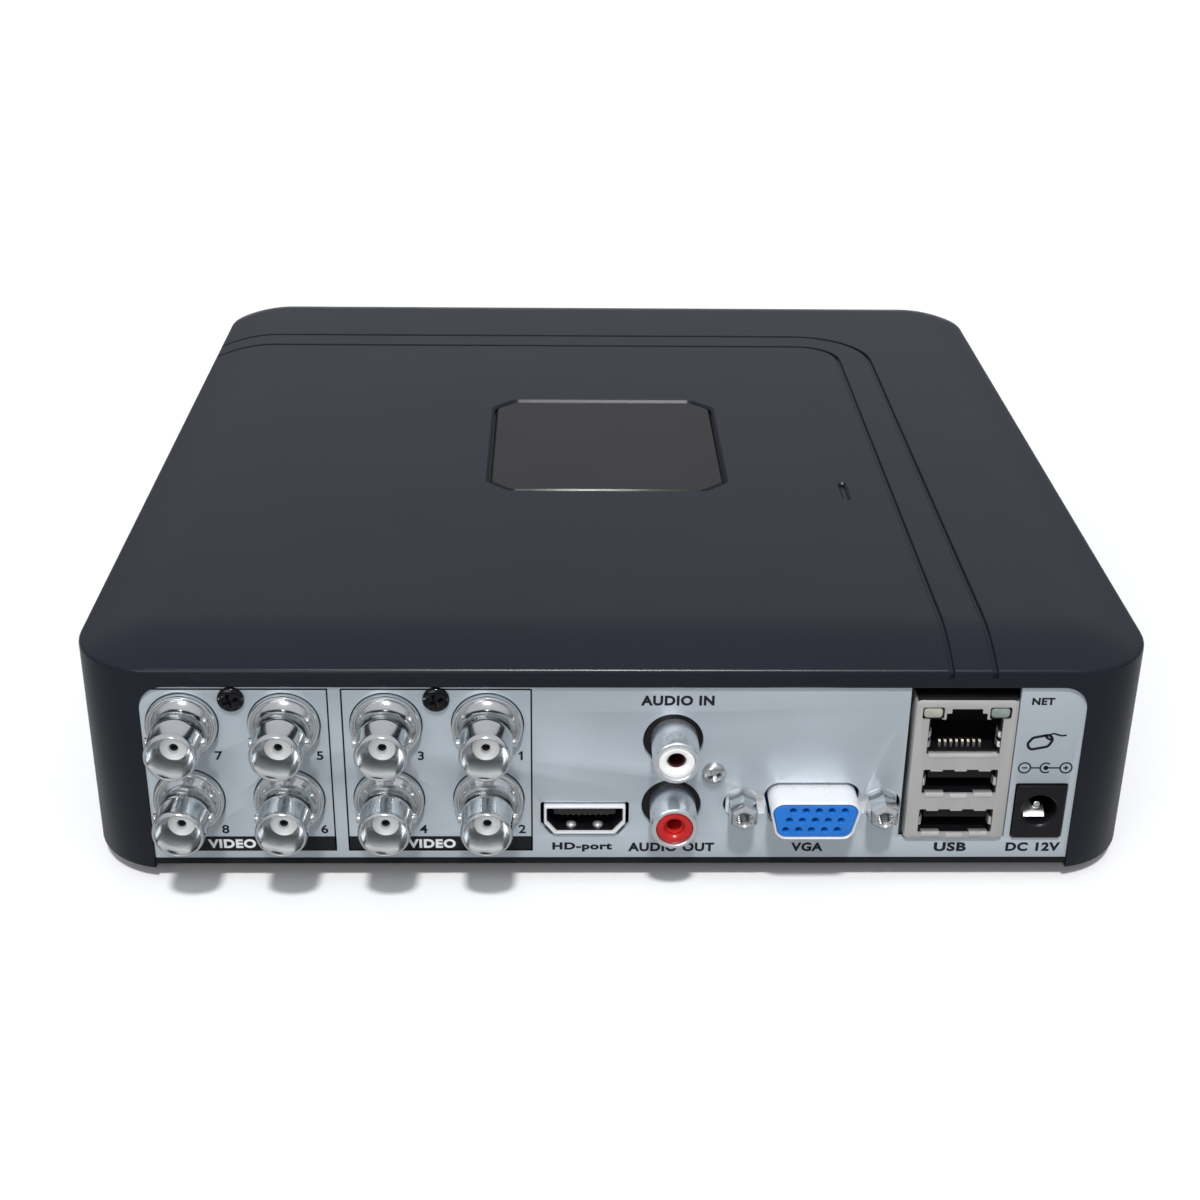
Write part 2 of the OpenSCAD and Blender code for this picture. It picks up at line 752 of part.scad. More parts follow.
module net_contacts() {
    color(gold)
        for (i = [0:7])
            translate([can_x + (i - 3.5) * 1.02, can_out + 2.4, net_z0 + 0.4]) rotate([8, 0, 0])
                block([-0.18, 0, 0], [0.18, 7.9, 0.25]);
}

module net_light(side, tint) {
    color(tint) net_light_window(side, 0, can_out + 0.05, can_out + can_t + 3);
}

module net_light_left() net_light(-1, [0.86, 0.84, 0.72]);
module net_light_right() net_light(1, [0.7, 0.85, 0.78]);

module dc_jack_body() {
    color([0.08, 0.08, 0.09])
        difference() {
            block([dc_x - 4.5, panel_out - 0.5, board_top], [dc_x + 4.5, panel_in + 13, board_top + 11.1]);
            rod_y(dc_x, dc_z, 3.15, panel_out - 1.5, panel_in + 9);
            rod_y(dc_x, dc_z, 1.05, panel_in + 8, panel_in + 11, medium);
        }
}

module dc_jack_pin() {
    color(nickel)
        turned_y(dc_x, dc_z, [[0, -panel_in - 11], [1, -panel_in - 11], [1, -panel_out - 1.9],
                              [0.6, -panel_out - 1.4], [0, -panel_out - 1.4]], medium);
}

chip_place = [20, -42];
chip_h = 2.2;

module main_chip() {
    half = 13.5;
    color([0.08, 0.08, 0.09])
        translate([chip_place[0] - half, chip_place[1] - half, board_top])
            cube([2 * half, 2 * half, chip_h]);
}

module heat_sink() {
    side = 28;
    foot = 2;
    fins = 8;
    fin_w = 1.05;
    color([0.12, 0.12, 0.13])
        translate([chip_place[0] - side / 2, chip_place[1] - side / 2, board_top + chip_h]) {
            cube([side, side, foot]);
            for (i = [0:fins - 1])
                translate([i * (side - fin_w) / (fins - 1), 0, foot - sliver]) cube([fin_w, side, 7]);
        }
}

module memory_chips() {
    color([0.07, 0.07, 0.08])
        for (x = [40, 54], y = [-50, -32])
            block([x - 4.5, y - 6.5, board_top], [x + 4.5, y + 6.5, board_top + 1.1]);
}

module board_capacitors() {
    color([0.16, 0.18, 0.3])
        for (p = [[72, -60], [72, -50], [72, -38], [-10, -28]])
            translate([p[0], p[1], board_top]) cylinder(h = 11, r = 4, $fn = medium);
}

battery_place = [-32, -42];

module battery_holder() {
    color([0.12, 0.12, 0.13])
        difference() {
            translate([battery_place[0], battery_place[1], board_top])
                cylinder(h = 4.5, r = 12, $fn = fine);
            translate([battery_place[0], battery_place[1], board_top + 1])
                cylinder(h = 4, r = 10.1, $fn = fine);
            block([battery_place[0] - 4, battery_place[1] - 13, board_top + 1],
                  [battery_place[0] + 4, battery_place[1], board_top + 6]);
        }
}

module backup_battery() {
    color(nickel)
        translate([battery_place[0], battery_place[1], board_top + 1])
            rotate_extrude($fn = fine)
                polygon([[0, 0], [8.6, 0], [8.6, 0.4], [10, 0.8], [10, 3], [9.8, 3.2], [0, 3.2]]);
}

module buzzer() {
    color([0.07, 0.07, 0.07])
        translate([-66, -36, board_top])
            difference() {
                cylinder(h = 8.5, r = 6, $fn = fine);
                translate([0, 0, 6]) cylinder(h = 3, r = 1.2, $fn = small);
            }
}

// Four-pin supply socket for the disk
module drive_power_socket() {
    color([0.92, 0.92, 0.88])
        difference() {
            block([64, -27, board_top], [81, -15, board_top + 9]);
            block([65, -26, board_top + 1.5], [80, -16, board_top + 10]);
        }
}

// Upright data socket for the disk
module drive_data_socket() {
    color([0.1, 0.1, 0.11])
        difference() {
            block([-82, -24, board_top], [-65, -17, board_top + 8]);
            block([-81, -23, board_top + 1.5], [-66, -20.8, board_top + 9]);
            block([-81, -20, board_top + 1.5], [-66, -18, board_top + 9]);
        }
}

// Cast body of the disk, with the spindle and the arm's pivot post standing on its floor
module drive_casting() {
    rim = 2.4;
    color([0.66, 0.67, 0.68]) {
        difference() {
            block([drive_x0, drive_y0, drive_z0], [-drive_x0, drive_y0 + drive_w, drive_z1 - lid_t]);
            slab(round_rect([drive_x0 + rim, drive_y0 + rim],
                            [-drive_x0 - 5.5, drive_y0 + drive_w - rim], 8), drive_floor, drive_z1);
            block([drive_x0 + 12, drive_y0 + 10, drive_z0 - 1],
                  [-drive_x0 - 20, drive_y0 + drive_w - 10, drive_z0 + 2.6]);
            block([-drive_x0 - 4.2, drive_y0 + 27, drive_z0 - 1],
                  [-drive_x0 + 1, drive_y0 + 71, drive_z0 + 5.2]);
            for (p = drive_hole)
                translate([p[0], p[1], drive_z0 - 1]) cylinder(h = 5, r = 1.6, $fn = small);
        }
        translate([spindle[0], spindle[1], drive_floor - sliver])
            cylinder(h = 12, r = spindle_r, $fn = fine);
        translate([spindle[0], spindle[1], drive_floor - sliver])
            cylinder(h = 1.4, r = 10, $fn = fine);
        translate([arm_pivot[0], arm_pivot[1], drive_floor - sliver])
            cylinder(h = 15.5, r = arm_post_r, $fn = fine);
    }
}

module drive_lid() {
    gap = 0.4;
    color([0.75, 0.76, 0.77])
        slab(round_rect([drive_x0 + gap, drive_y0 + gap], [-drive_x0 - gap, drive_y0 + drive_w - gap], 3),
             drive_z1 - lid_t, drive_z1);
}

// Platter with its hub, turning on the spindle
module drive_platter() {
    color([0.85, 0.86, 0.88])
        translate([spindle[0], spindle[1], 0])
            rotate_extrude($fn = 96)
                polygon([[spindle_r + running, drive_floor + 2], [hub_r, drive_floor + 2],
                         [hub_r, platter_z], [platter_r, platter_z], [platter_r, platter_z + platter_t],
                         [hub_r, platter_z + platter_t], [hub_r, platter_z + platter_t + 1],
                         [spindle_r + running, platter_z + platter_t + 1]]);
}

// Head arm at its parked angle, with a coil blade behind its pivot
module drive_arm() {
    color([0.7, 0.7, 0.68])
        translate([arm_pivot[0], arm_pivot[1], 0]) rotate([0, 0, arm_park])
            difference() {
                union() {
                    translate([0, 0, drive_floor + 2]) cylinder(h = 13, r = 6, $fn = fine);
                    slab([[0, -5], [arm_l - 6, -1.8], [arm_l, -1.2], [arm_l, 1.2],
                          [arm_l - 6, 1.8], [0, 5]], arm_z, arm_z + 1.2);
                    slab([[0, -5], [-10, -8], [-15, -5], [-15, 5], [-10, 8], [0, 5]],
                         arm_z - 4, arm_z - 2);
                    block([arm_l - 1.2, -0.8, arm_z - 0.5], [arm_l, 0.8, arm_z + sliver]);
                }
                translate([0, 0, drive_floor]) cylinder(h = 20, r = arm_post_r + running, $fn = fine);
            }
}

module drive_circuit_board() {
    color(board_green)
        block([drive_x0 + 13, drive_y0 + 11, drive_z0 + 1],
              [-drive_x0 - 21, drive_y0 + drive_w - 11, drive_z0 + 2.6]);
}

module drive_socket() {
    color([0.06, 0.06, 0.07])
        difference() {
            block([-drive_x0 - 4.1, drive_y0 + 27.5, drive_z0 + 0.3],
                  [-drive_x0 + 0.5, drive_y0 + 70.5, drive_z0 + 5.1]);
            for (run = [[29, 46], [49, 69]])
                block([-drive_x0 - 2.6, drive_y0 + run[0], drive_z0 + 1.2],
                      [-drive_x0 + 1, drive_y0 + run[1], drive_z0 + 2.6]);
        }
}

module drive_screws() {
    color(steel)
        for (p = drive_hole) screw_z(p[0], p[1], 3, 1.6, 1.5, tray_z - 1.6, 7);
}

module indicator_board() {
    color(board_green)
        difference() {
            block([-41, y_front - 7.5, window_z - 7], [41, y_front - 5.9, window_z + 7]);
            for (side = [-1, 1]) rod_y(side * 37, window_z, 1.2, y_front - 8, y_front - 5, small);
        }
}

module indicator_lights() {
    color([0.85, 0.9, 0.85])
        for (x = light_x)
            rod_y(x, window_z, 1.5, y_front - 5.9, y_front - wall - lip_t - 0.2);
}

module remote_sensor() {
    color([0.1, 0.07, 0.09]) {
        block([15, y_front - 5.9, window_z - 3], [21, y_front - 4.4, window_z + 3]);
        rod_y(18, window_z, 2, y_front - 4.4 - sliver, y_front - wall - lip_t - 0.2);
    }
}

top_cover();
badge_plate();
front_window();
base_tray();
rear_panel();
rubber_feet();
cover_screws();
video_screws();
audio_screw();
main_board();
board_standoffs();
board_screws();
video_jack(1);  // video_jack_1
video_jack(2);  // video_jack_2
video_jack(3);  // video_jack_3
video_jack(4);  // video_jack_4
video_jack(5);  // video_jack_5
video_jack(6);  // video_jack_6
video_jack(7);  // video_jack_7
video_jack(8);  // video_jack_8
video_insulators();
video_contacts();
video_housing(0);  // video_housing_left
video_housing(1);  // video_housing_right
audio_housing();
audio_in_sleeve();
audio_out_sleeve();
audio_in_insulator();
audio_out_insulator();
hd_port_shell();
hd_port_tongue();
vga_shell();
vga_insert();
vga_hex_posts();
net_usb_can();
net_usb_insert();
net_contacts();
net_light_left();
net_light_right();
dc_jack_body();
dc_jack_pin();
main_chip();
heat_sink();
memory_chips();
board_capacitors();
battery_holder();
backup_battery();
buzzer();
drive_power_socket();
drive_data_socket();
drive_casting();
drive_lid();
drive_platter();
drive_arm();
drive_circuit_board();
drive_socket();
drive_screws();
indicator_board();
indicator_lights();
remote_sensor();
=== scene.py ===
"""Looks of the video recorder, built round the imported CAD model.

Shapes are worked out in millimetres and turned into metres when a piece is made. Pieces on the rear
panel are drawn in a local frame: u to the right, v up and d out of the panel, which is the row's -Y.
"""
from math import atan, atan2, copysign, cos, degrees, hypot, pi, radians, sin, sqrt, tan

import bmesh
import bpy
from mathutils import Matrix, Vector


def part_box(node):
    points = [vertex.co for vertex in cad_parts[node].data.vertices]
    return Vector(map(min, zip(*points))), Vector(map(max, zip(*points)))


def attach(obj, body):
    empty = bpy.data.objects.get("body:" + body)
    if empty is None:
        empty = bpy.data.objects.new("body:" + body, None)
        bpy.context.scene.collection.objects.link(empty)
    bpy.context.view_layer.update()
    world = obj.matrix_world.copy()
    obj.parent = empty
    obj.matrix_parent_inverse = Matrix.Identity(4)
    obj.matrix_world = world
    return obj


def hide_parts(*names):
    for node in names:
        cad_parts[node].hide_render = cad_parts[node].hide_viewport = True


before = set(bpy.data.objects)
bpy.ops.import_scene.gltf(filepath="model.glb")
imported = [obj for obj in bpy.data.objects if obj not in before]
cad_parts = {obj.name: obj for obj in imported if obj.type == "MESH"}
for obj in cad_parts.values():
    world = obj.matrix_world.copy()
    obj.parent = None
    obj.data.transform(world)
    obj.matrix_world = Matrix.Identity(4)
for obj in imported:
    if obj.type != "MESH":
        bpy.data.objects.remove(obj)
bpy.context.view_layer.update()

MM = 0.001
CASE = "case"
REAR = Matrix.Rotation(radians(90), 4, "X")
SMOOTH_ANGLE = radians(32)
SEGMENTS = 72


# ---- the frame, in millimetres

def node_box(name):
    """Lowest and highest corner of a CAD node."""
    low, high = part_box(name)
    return low / MM, high / MM


def middle(name):
    """Centre of a CAD node."""
    low, high = node_box(name)
    return (low + high) / 2


COVER_LOW, COVER_HIGH = node_box("top_cover")
PANEL_LOW, PANEL_HIGH = node_box("rear_panel")
REAR_Y = COVER_LOW.y
PANEL_Y = PANEL_LOW.y
TOP_Z = COVER_HIGH.z
CROWN = 3.5
CROWN_W = 15.0
CORNER_R = 15.0
EDGE_R = 1.0
WALL = 2.0
EDGE_Z = TOP_Z - CROWN
BADGE_CUT = 4.4
POST_PITCH = 24.99
USB_LEVELS = (1.5, 9.8)
NET_LOW, NET_HIGH = 18.0, 25.1
LIGHT_SHIFT = 0.6


# ---- shapes as (points, faces)

def joined(*shapes):
    """Several shapes as one."""
    points, faces = [], []
    for shape_points, shape_faces in shapes:
        base = len(points)
        points += shape_points
        faces += [[i + base for i in face] for face in shape_faces]
    return points, faces


def moved(shape, offset=(0, 0, 0), turn=None):
    """A shape turned and then shifted."""
    matrix = Matrix.Translation(offset) @ (turn or Matrix.Identity(4))
    return [matrix @ Vector(p) for p in shape[0]], shape[1]


def on_panel(shape, x, z, y=None):
    """A shape drawn as (u, v, d), stood on the rear panel at x and z."""
    return moved(shape, (x, PANEL_Y if y is None else y, z), REAR)


def lathe(profile, segments=SEGMENTS):
    """Solid of revolution about Z from (radius, height) points. Off the axis the profile is closed."""
    points, rings = [], []
    for radius, height in profile:
        if radius < 1e-6:
            rings.append([len(points)] * segments)
            points.append(Vector((0, 0, height)))
            continue
        rings.append(list(range(len(points), len(points) + segments)))
        for i in range(segments):
            a = 2 * pi * i / segments
            points.append(Vector((radius * cos(a), radius * sin(a), height)))
    faces = []
    on_axis = profile[0][0] < 1e-6 and profile[-1][0] < 1e-6
    pairs = list(zip(rings, rings[1:])) + ([] if on_axis else [(rings[-1], rings[0])])
    for low, high in pairs:
        for i in range(segments):
            j = (i + 1) % segments
            face = []
            for index in (low[i], low[j], high[j], high[i]):
                if index not in face:
                    face.append(index)
            if len(face) > 2:
                faces.append(face)
    return points, faces


def loft(rings, closed=False):
    """Skin over loops with the same number of points, capped at both ends unless it closes on itself."""
    count = len(rings[0])
    points = [Vector(p) for ring in rings for p in ring]
    faces = []
    steps = len(rings) if closed else len(rings) - 1
    for k in range(steps):
        low, high = k * count, (k + 1) % len(rings) * count
        for i in range(count):
            j = (i + 1) % count
            faces.append([low + i, low + j, high + j, high + i])
    if not closed:
        faces.append(list(range(count))[::-1])
        faces.append(list(range((len(rings) - 1) * count, len(rings) * count)))
    return points, faces


def arc(centre, radius, start, stop, steps):
    """Points on an arc, angles in degrees."""
    return [(centre[0] + radius * cos(radians(start + (stop - start) * i / steps)),
             centre[1] + radius * sin(radians(start + (stop - start) * i / steps)))
            for i in range(steps + 1)]


def round_rect(low, high, radius, steps=6):
    """Outline of a rectangle with round corners, counter-clockwise."""
    (x0, y0), (x1, y1), r = low, high, radius
    return (arc((x1 - r, y1 - r), r, 0, 90, steps) + arc((x0 + r, y1 - r), r, 90, 180, steps)
            + arc((x0 + r, y0 + r), r, 180, 270, steps) + arc((x1 - r, y0 + r), r, 270, 360, steps))


def rounded(corners, radius, steps=3):
    """Outline through counter-clockwise corners, each one rounded."""
    result = []
    for i, corner in enumerate(corners):
        point = Vector(corner)
        before = (Vector(corners[i - 1]) - point).normalized()
        after = (Vector(corners[(i + 1) % len(corners)]) - point).normalized()
        half = before.angle(after) / 2
        centre = point + (before + after).normalized() * (radius / sin(half))
        first = point + before * (radius / tan(half)) - centre
        last = point + after * (radius / tan(half)) - centre
        start = degrees(atan2(first.y, first.x))
        sweep_angle = (degrees(atan2(last.y, last.x)) - start + 180) % 360 - 180
        result += arc(centre, radius, start, start + sweep_angle, steps)
    return result


def cut_rect(low, high, cut, radius):
    """Outline of a rectangle with its corners cut off and then eased."""
    (x0, y0), (x1, y1), c = low, high, cut
    return rounded([(x1, y0 + c), (x1, y1 - c), (x1 - c, y1), (x0 + c, y1), (x0, y1 - c), (x0, y0 + c),
                    (x0 + c, y0), (x1 - c, y0)], radius)


def shifted(outline, x, y):
    """An outline moved over."""
    return [(x + u, y + v) for u, v in outline]


def circle(spot, radius):
    """Outline of a round hole in the rear panel."""
    return shifted(arc((0, 0), radius, 0, 360 - 360 / SEGMENTS, SEGMENTS - 1), spot.x, spot.z)


def below(top, points):
    """Profile points from (radius, distance below top) pairs."""
    return [(radius, top - distance) for radius, distance in points]


def grown(outline, amount):
    """A counter-clockwise outline moved outwards by amount, or inwards if it is negative."""
    result = []
    count = len(outline)
    for i, (x, y) in enumerate(outline):
        before, after = outline[i - 1], outline[(i + 1) % count]
        a = Vector((x - before[0], y - before[1]))
        b = Vector((after[0] - x, after[1] - y))
        a = b if a.length < 1e-9 else a
        b = a if b.length < 1e-9 else b
        a.normalize()
        b.normalize()
        normal = Vector((a.y + b.y, -a.x - b.x))
        normal.normalize()
        reach = max(0.5, normal.dot(Vector((a.y, -a.x))))
        result.append((x + normal.x * amount / reach, y + normal.y * amount / reach))
    return result


def stacked(outline, sections, closed=False):
    """Skin over an outline that is moved out by an amount at each height, from (amount, height) pairs."""
    return loft([[(x, y, z) for x, y in grown(outline, amount)] for amount, z in sections], closed)


def prism(outline, low, high, edge=0.0, steps=3, low_edge=None):
    """An outline raised from low to high, with its end edges rounded."""
    foot = edge if low_edge is None else low_edge
    rings = []
    for i in range(steps + 1 if foot else 1):
        a = radians(90 * i / steps) if foot else 0
        rings.append((-foot * (1 - sin(a)), low + foot * (1 - cos(a))))
    for i in range(steps + 1 if edge else 1):
        a = radians(90 * i / steps) if edge else 0
        rings.append((-edge * (1 - cos(a)), high - edge * (1 - sin(a))))
    return stacked(outline, rings)


def slab(low, high, edge=0.1, radius=0.2):
    """Box between two corners, with round upright corners and round end edges."""
    radius = min(radius, (high[0] - low[0]) / 2.01, (high[1] - low[1]) / 2.01)
    edge = min(edge, radius * 0.8, (high[2] - low[2]) / 2.01)
    return prism(round_rect(low[:2], high[:2], radius, 4), low[2], high[2], edge, 2)


def sweep(path, normals, section):
    """A section of (side, up) points carried along a path, with the surface normal at each point."""
    rings = []
    for i, point in enumerate(path):
        before, after = path[max(i - 1, 0)], path[min(i + 1, len(path) - 1)]
        along = (after - before).normalized()
        side = along.cross(normals[i]).normalized()
        up = side.cross(along)
        rings.append([point + side * s + up * u for s, u in section])
    return loft(rings)


# ---- pieces

def scratch_object(name, shape):
    """A mesh object from a shape in millimetres, its faces all turned outwards."""
    mesh = bpy.data.meshes.new(name)
    mesh.from_pydata([Vector(p) * MM for p in shape[0]], [], shape[1])
    work = bmesh.new()
    work.from_mesh(mesh)
    bmesh.ops.remove_doubles(work, verts=work.verts, dist=1e-7)
    bmesh.ops.recalc_face_normals(work, faces=work.faces)
    work.to_mesh(mesh)
    work.free()
    made = bpy.data.objects.new(name, mesh)
    bpy.context.scene.collection.objects.link(made)
    return made


def taken(obj):
    """The mesh of an object as a shape in millimetres. The object is removed."""
    shape = [v.co / MM for v in obj.data.vertices], [list(face.vertices) for face in obj.data.polygons]
    bpy.data.objects.remove(obj)
    return shape


def apply_modifiers(obj):
    bpy.context.view_layer.update()
    depsgraph = bpy.context.evaluated_depsgraph_get()
    mesh = bpy.data.meshes.new_from_object(obj.evaluated_get(depsgraph))
    obj.modifiers.clear()
    obj.data = mesh


def combine(obj, shape, operation="DIFFERENCE", solver="MANIFOLD"):
    """Cuts a shape out of an object, or joins it on."""
    tool = scratch_object("tool", shape)
    modifier = obj.modifiers.new("combine", "BOOLEAN")
    modifier.object = tool
    modifier.operation = operation
    modifier.solver = solver
    apply_modifiers(obj)
    bpy.data.objects.remove(tool)


def finished(obj, look, replaced=(), angle=SMOOTH_ANGLE):
    """Shades a piece, gives it its look and makes it ride on the case."""
    obj.data.materials.clear()
    obj.data.materials.append(MATERIALS[look])
    obj.data.shade_smooth()
    obj.data.set_sharp_from_angle(angle=angle)
    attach(obj, CASE)
    if replaced:
        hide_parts(*replaced)
    return obj


def piece(name, shape, look, replaced=()):
    """A finished object made from a shape."""
    return finished(scratch_object(name, shape), look, replaced)


def stood(obj, x, z):
    """Stands an object that was drawn as (u, v, d) on the rear panel at x and z."""
    obj.data.transform(Matrix.Translation(Vector((x, PANEL_Y, z)) * MM) @ REAR)
    return obj


# ---- materials

def node_tree(name):
    material = bpy.data.materials.new(name)
    material.use_nodes = True
    tree = material.node_tree
    return material, tree, tree.nodes["Principled BSDF"]


def preset(node, **values):
    """Sets inputs of a shader node. An underscore stands for a space in an input's name."""
    for name, value in values.items():
        node.inputs[name.replace("_", " ")].default_value = value


def noise(tree, size, detail, stretch):
    """Noise with features about size millimetres across, fixed to the object."""
    place = tree.nodes.new("ShaderNodeTexCoord")
    mapping = tree.nodes.new("ShaderNodeMapping")
    preset(mapping, Scale=stretch)
    texture = tree.nodes.new("ShaderNodeTexNoise")
    preset(texture, Scale=1 / (size * MM), Detail=detail)
    tree.links.new(place.outputs["Object"], mapping.inputs["Vector"])
    tree.links.new(mapping.outputs["Vector"], texture.inputs["Vector"])
    return texture


def spread(tree, source, low, high, target):
    """Maps a noise value to a range and links it to a socket."""
    mapped = tree.nodes.new("ShaderNodeMapRange")
    preset(mapped, From_Min=0.3, From_Max=0.7, To_Min=low, To_Max=high)
    tree.links.new(source.outputs["Fac"], mapped.inputs["Value"])
    tree.links.new(mapped.outputs["Result"], target)


def tinted(tree, shader, texture, first, second):
    """Mixes two close colours by a noise."""
    ramp = tree.nodes.new("ShaderNodeValToRGB")
    for stop, position, colour in zip(ramp.color_ramp.elements, (0.35, 0.65), (first, second)):
        stop.position, stop.color = position, (*colour, 1)
    tree.links.new(texture.outputs["Fac"], ramp.inputs["Fac"])
    tree.links.new(ramp.outputs["Color"], shader.inputs["Base Color"])


def bumped(tree, shader, texture, height):
    """Surface relief of height millimetres from a noise."""
    bump = tree.nodes.new("ShaderNodeBump")
    preset(bump, Strength=1.0, Distance=height * MM)
    tree.links.new(texture.outputs["Fac"], bump.inputs["Height"])
    tree.links.new(bump.outputs["Normal"], shader.inputs["Normal"])


MATERIALS = {}
SURFACE_IOR = 1.48


def add_look(name, colour, rough, metallic=0.0, vary=0.12, grain=0.3, relief=0.002, patch=6.0,
             rough_span=0.06, stretch=(1, 1, 1), coat=0.0, specular=0.5):
    """Moulded, painted or plated surface: close colours in patches, uneven gloss and a fine grain. The
    colours differ by the share vary. Grain, relief and patch are millimetres."""
    material, tree, shader = node_tree(name)
    preset(shader, Metallic=metallic, IOR=SURFACE_IOR, Specular_IOR_Level=specular,
           Coat_Weight=coat, Coat_Roughness=0.08)
    patches = noise(tree, patch, 4.0, stretch)
    tinted(tree, shader, patches, [c * (1 - vary) for c in colour], [c * (1 + vary) for c in colour])
    spread(tree, noise(tree, patch * 0.35, 3.0, stretch), rough - rough_span / 2, rough + rough_span / 2,
           shader.inputs["Roughness"])
    bumped(tree, shader, noise(tree, grain, 2.0, stretch), relief)
    MATERIALS[name] = material
    return material


add_look("case_plastic", (0.0100, 0.0122, 0.0185), 0.24, vary=0.05, grain=0.16, relief=0.003, patch=40,
         rough_span=0.03, specular=0.22)
add_look("gloss_trim", (0.012, 0.0105, 0.0115), 0.15, grain=2.0, patch=14, specular=0.24)
add_look("smoked_window", (0.006, 0.005, 0.006), 0.06, grain=3.0, relief=0.001, patch=20, rough_span=0.02,
         coat=0.5)
add_look("tray_paint", (0.006, 0.006, 0.007), 0.48, vary=0.06, grain=0.5, relief=0.003, patch=30,
         rough_span=0.03, specular=0.25)
add_look("panel_paint", (0.49, 0.545, 0.59), 0.38, metallic=0.35, vary=0.035, grain=0.12, relief=0.003,
         patch=22, rough_span=0.05)
add_look("rubber", (0.012, 0.012, 0.012), 0.7, grain=0.35, relief=0.02, patch=5)
add_look("black_screw", (0.004, 0.004, 0.006), 0.1, grain=0.4, patch=2, specular=0.3)
add_look("bright_steel", (0.60, 0.61, 0.62), 0.24, metallic=1.0, relief=0.003, patch=3)
add_look("nickel", (0.70, 0.72, 0.73), 0.13, metallic=1.0, vary=0.05, grain=0.9, patch=4)
add_look("plated_sheet", (0.55, 0.545, 0.53), 0.42, metallic=0.6, vary=0.06, grain=0.6, relief=0.003,
         stretch=(1, 1, 0.2))
add_look("brass_gold", (0.80, 0.58, 0.24), 0.22, metallic=1.0, grain=0.5)
add_look("satin_nickel", (0.76, 0.79, 0.82), 0.25, metallic=0.9, vary=0.04, grain=0.5, relief=0.0004)
add_look("bright_tin", (0.86, 0.88, 0.90), 0.3, metallic=0.35, vary=0.03, grain=0.5, relief=0.0003)
add_look("white_insulator", (0.90, 0.90, 0.89), 0.4, vary=0.03, grain=0.6, relief=0.004, patch=3)
add_look("red_insulator", (0.48, 0.012, 0.012), 0.3, vary=0.1, grain=0.8, relief=0.004, patch=3)
add_look("tongue_grey", (0.022, 0.022, 0.024), 0.35, grain=0.4, relief=0.005, patch=4)
# Dark reddish brown for the cup down the white audio jack's hole is painted shade: the contact there lies
# in the hole's shade.
add_look("clip_shade_brown", (0.035, 0.006, 0.006), 0.35, grain=0.5, relief=0.003, patch=2)
add_look("socket_black", (0.006, 0.006, 0.0075), 0.34, grain=0.4, relief=0.006, patch=8, specular=0.3)
add_look("socket_blue", (0.012, 0.17, 0.60), 0.34, vary=0.06, grain=0.4, relief=0.005, patch=3)
add_look("pale_gold", (0.86, 0.80, 0.66), 0.28, metallic=1.0, grain=0.5)
add_look("spring_sheet", (0.80, 0.80, 0.79), 0.38, metallic=0.85, vary=0.05, grain=0.5, relief=0.004,
         patch=4)
add_look("light_amber", (0.40, 0.39, 0.33), 0.3, vary=0.08, grain=0.7, relief=0.006, patch=1.5)
add_look("light_green", (0.235, 0.28, 0.255), 0.3, vary=0.1, grain=0.7, relief=0.006, patch=1.5)
add_look("board_green", (0.006, 0.085, 0.035), 0.32, vary=0.2, grain=0.8, relief=0.008, patch=3, coat=0.3)
add_look("chip_black", (0.012, 0.012, 0.013), 0.5, grain=0.25, relief=0.01, patch=4)
add_look("black_aluminium", (0.014, 0.014, 0.016), 0.4, metallic=0.6, relief=0.006, patch=5,
         stretch=(1, 0.15, 1))
add_look("capacitor_sleeve", (0.016, 0.022, 0.08), 0.3, grain=1.0, relief=0.004, patch=4)
add_look("socket_cream", (0.72, 0.68, 0.56), 0.42, vary=0.04, grain=0.6, relief=0.005, patch=5)
add_look("cast_alloy", (0.46, 0.47, 0.48), 0.48, metallic=1.0, vary=0.08, grain=0.5, relief=0.02, patch=7)
add_look("lid_steel", (0.42, 0.43, 0.44), 0.42, metallic=0.9, vary=0.03, grain=0.4, relief=0.0006,
         patch=14, rough_span=0.04)
add_look("platter_mirror", (0.82, 0.83, 0.85), 0.04, metallic=1.0, vary=0.01, grain=6, relief=0.0005,
         patch=30, rough_span=0.01)
add_look("indicator_clear", (0.62, 0.70, 0.64), 0.2, grain=1.0, relief=0.004, patch=2)
add_look("sensor_dark", (0.012, 0.006, 0.012), 0.1, grain=1.0, patch=3)
add_look("ink_dark", (0.010, 0.012, 0.015), 0.5, vary=0.1, patch=1.0, specular=0.2)
add_look("ink_white", (0.78, 0.80, 0.81), 0.5, vary=0.04, patch=1.0)

# Looks of the CAD nodes that stay in view.
CAD_LOOKS = {
    "tray_paint": ("base_tray",),
    "board_green": ("main_board", "drive_circuit_board", "indicator_board"),
    "brass_gold": ("board_standoffs",),
    "bright_steel": ("board_screws",),
    "socket_black": ("video_housing_left", "video_housing_right", "audio_housing", "net_usb_insert",
                     "battery_holder", "drive_data_socket", "drive_socket"),
    "chip_black": ("main_chip", "memory_chips", "buzzer"),
    "black_aluminium": ("heat_sink",),
    "capacitor_sleeve": ("board_capacitors",),
    "nickel": ("backup_battery",),
    "socket_cream": ("drive_power_socket",),
    "cast_alloy": ("drive_casting", "drive_arm"),
    "lid_steel": ("drive_lid",),
    "platter_mirror": ("drive_platter",),
    "indicator_clear": ("indicator_lights",),
    "sensor_dark": ("remote_sensor",),
}


def finish_cad_nodes():
    """Gives each CAD node that stays in view its material."""
    for look, names in CAD_LOOKS.items():
        for name in names:
            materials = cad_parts[name].data.materials
            materials.clear()
            materials.append(MATERIALS[look])


# ---- cover

def case_outline(inset):
    """Outline of the case seen from above, a distance in from its walls."""
    return round_rect((COVER_LOW.x + inset, COVER_LOW.y + inset),
                      (COVER_HIGH.x - inset, COVER_HIGH.y - inset), max(CORNER_R - inset, 0.6), 14)


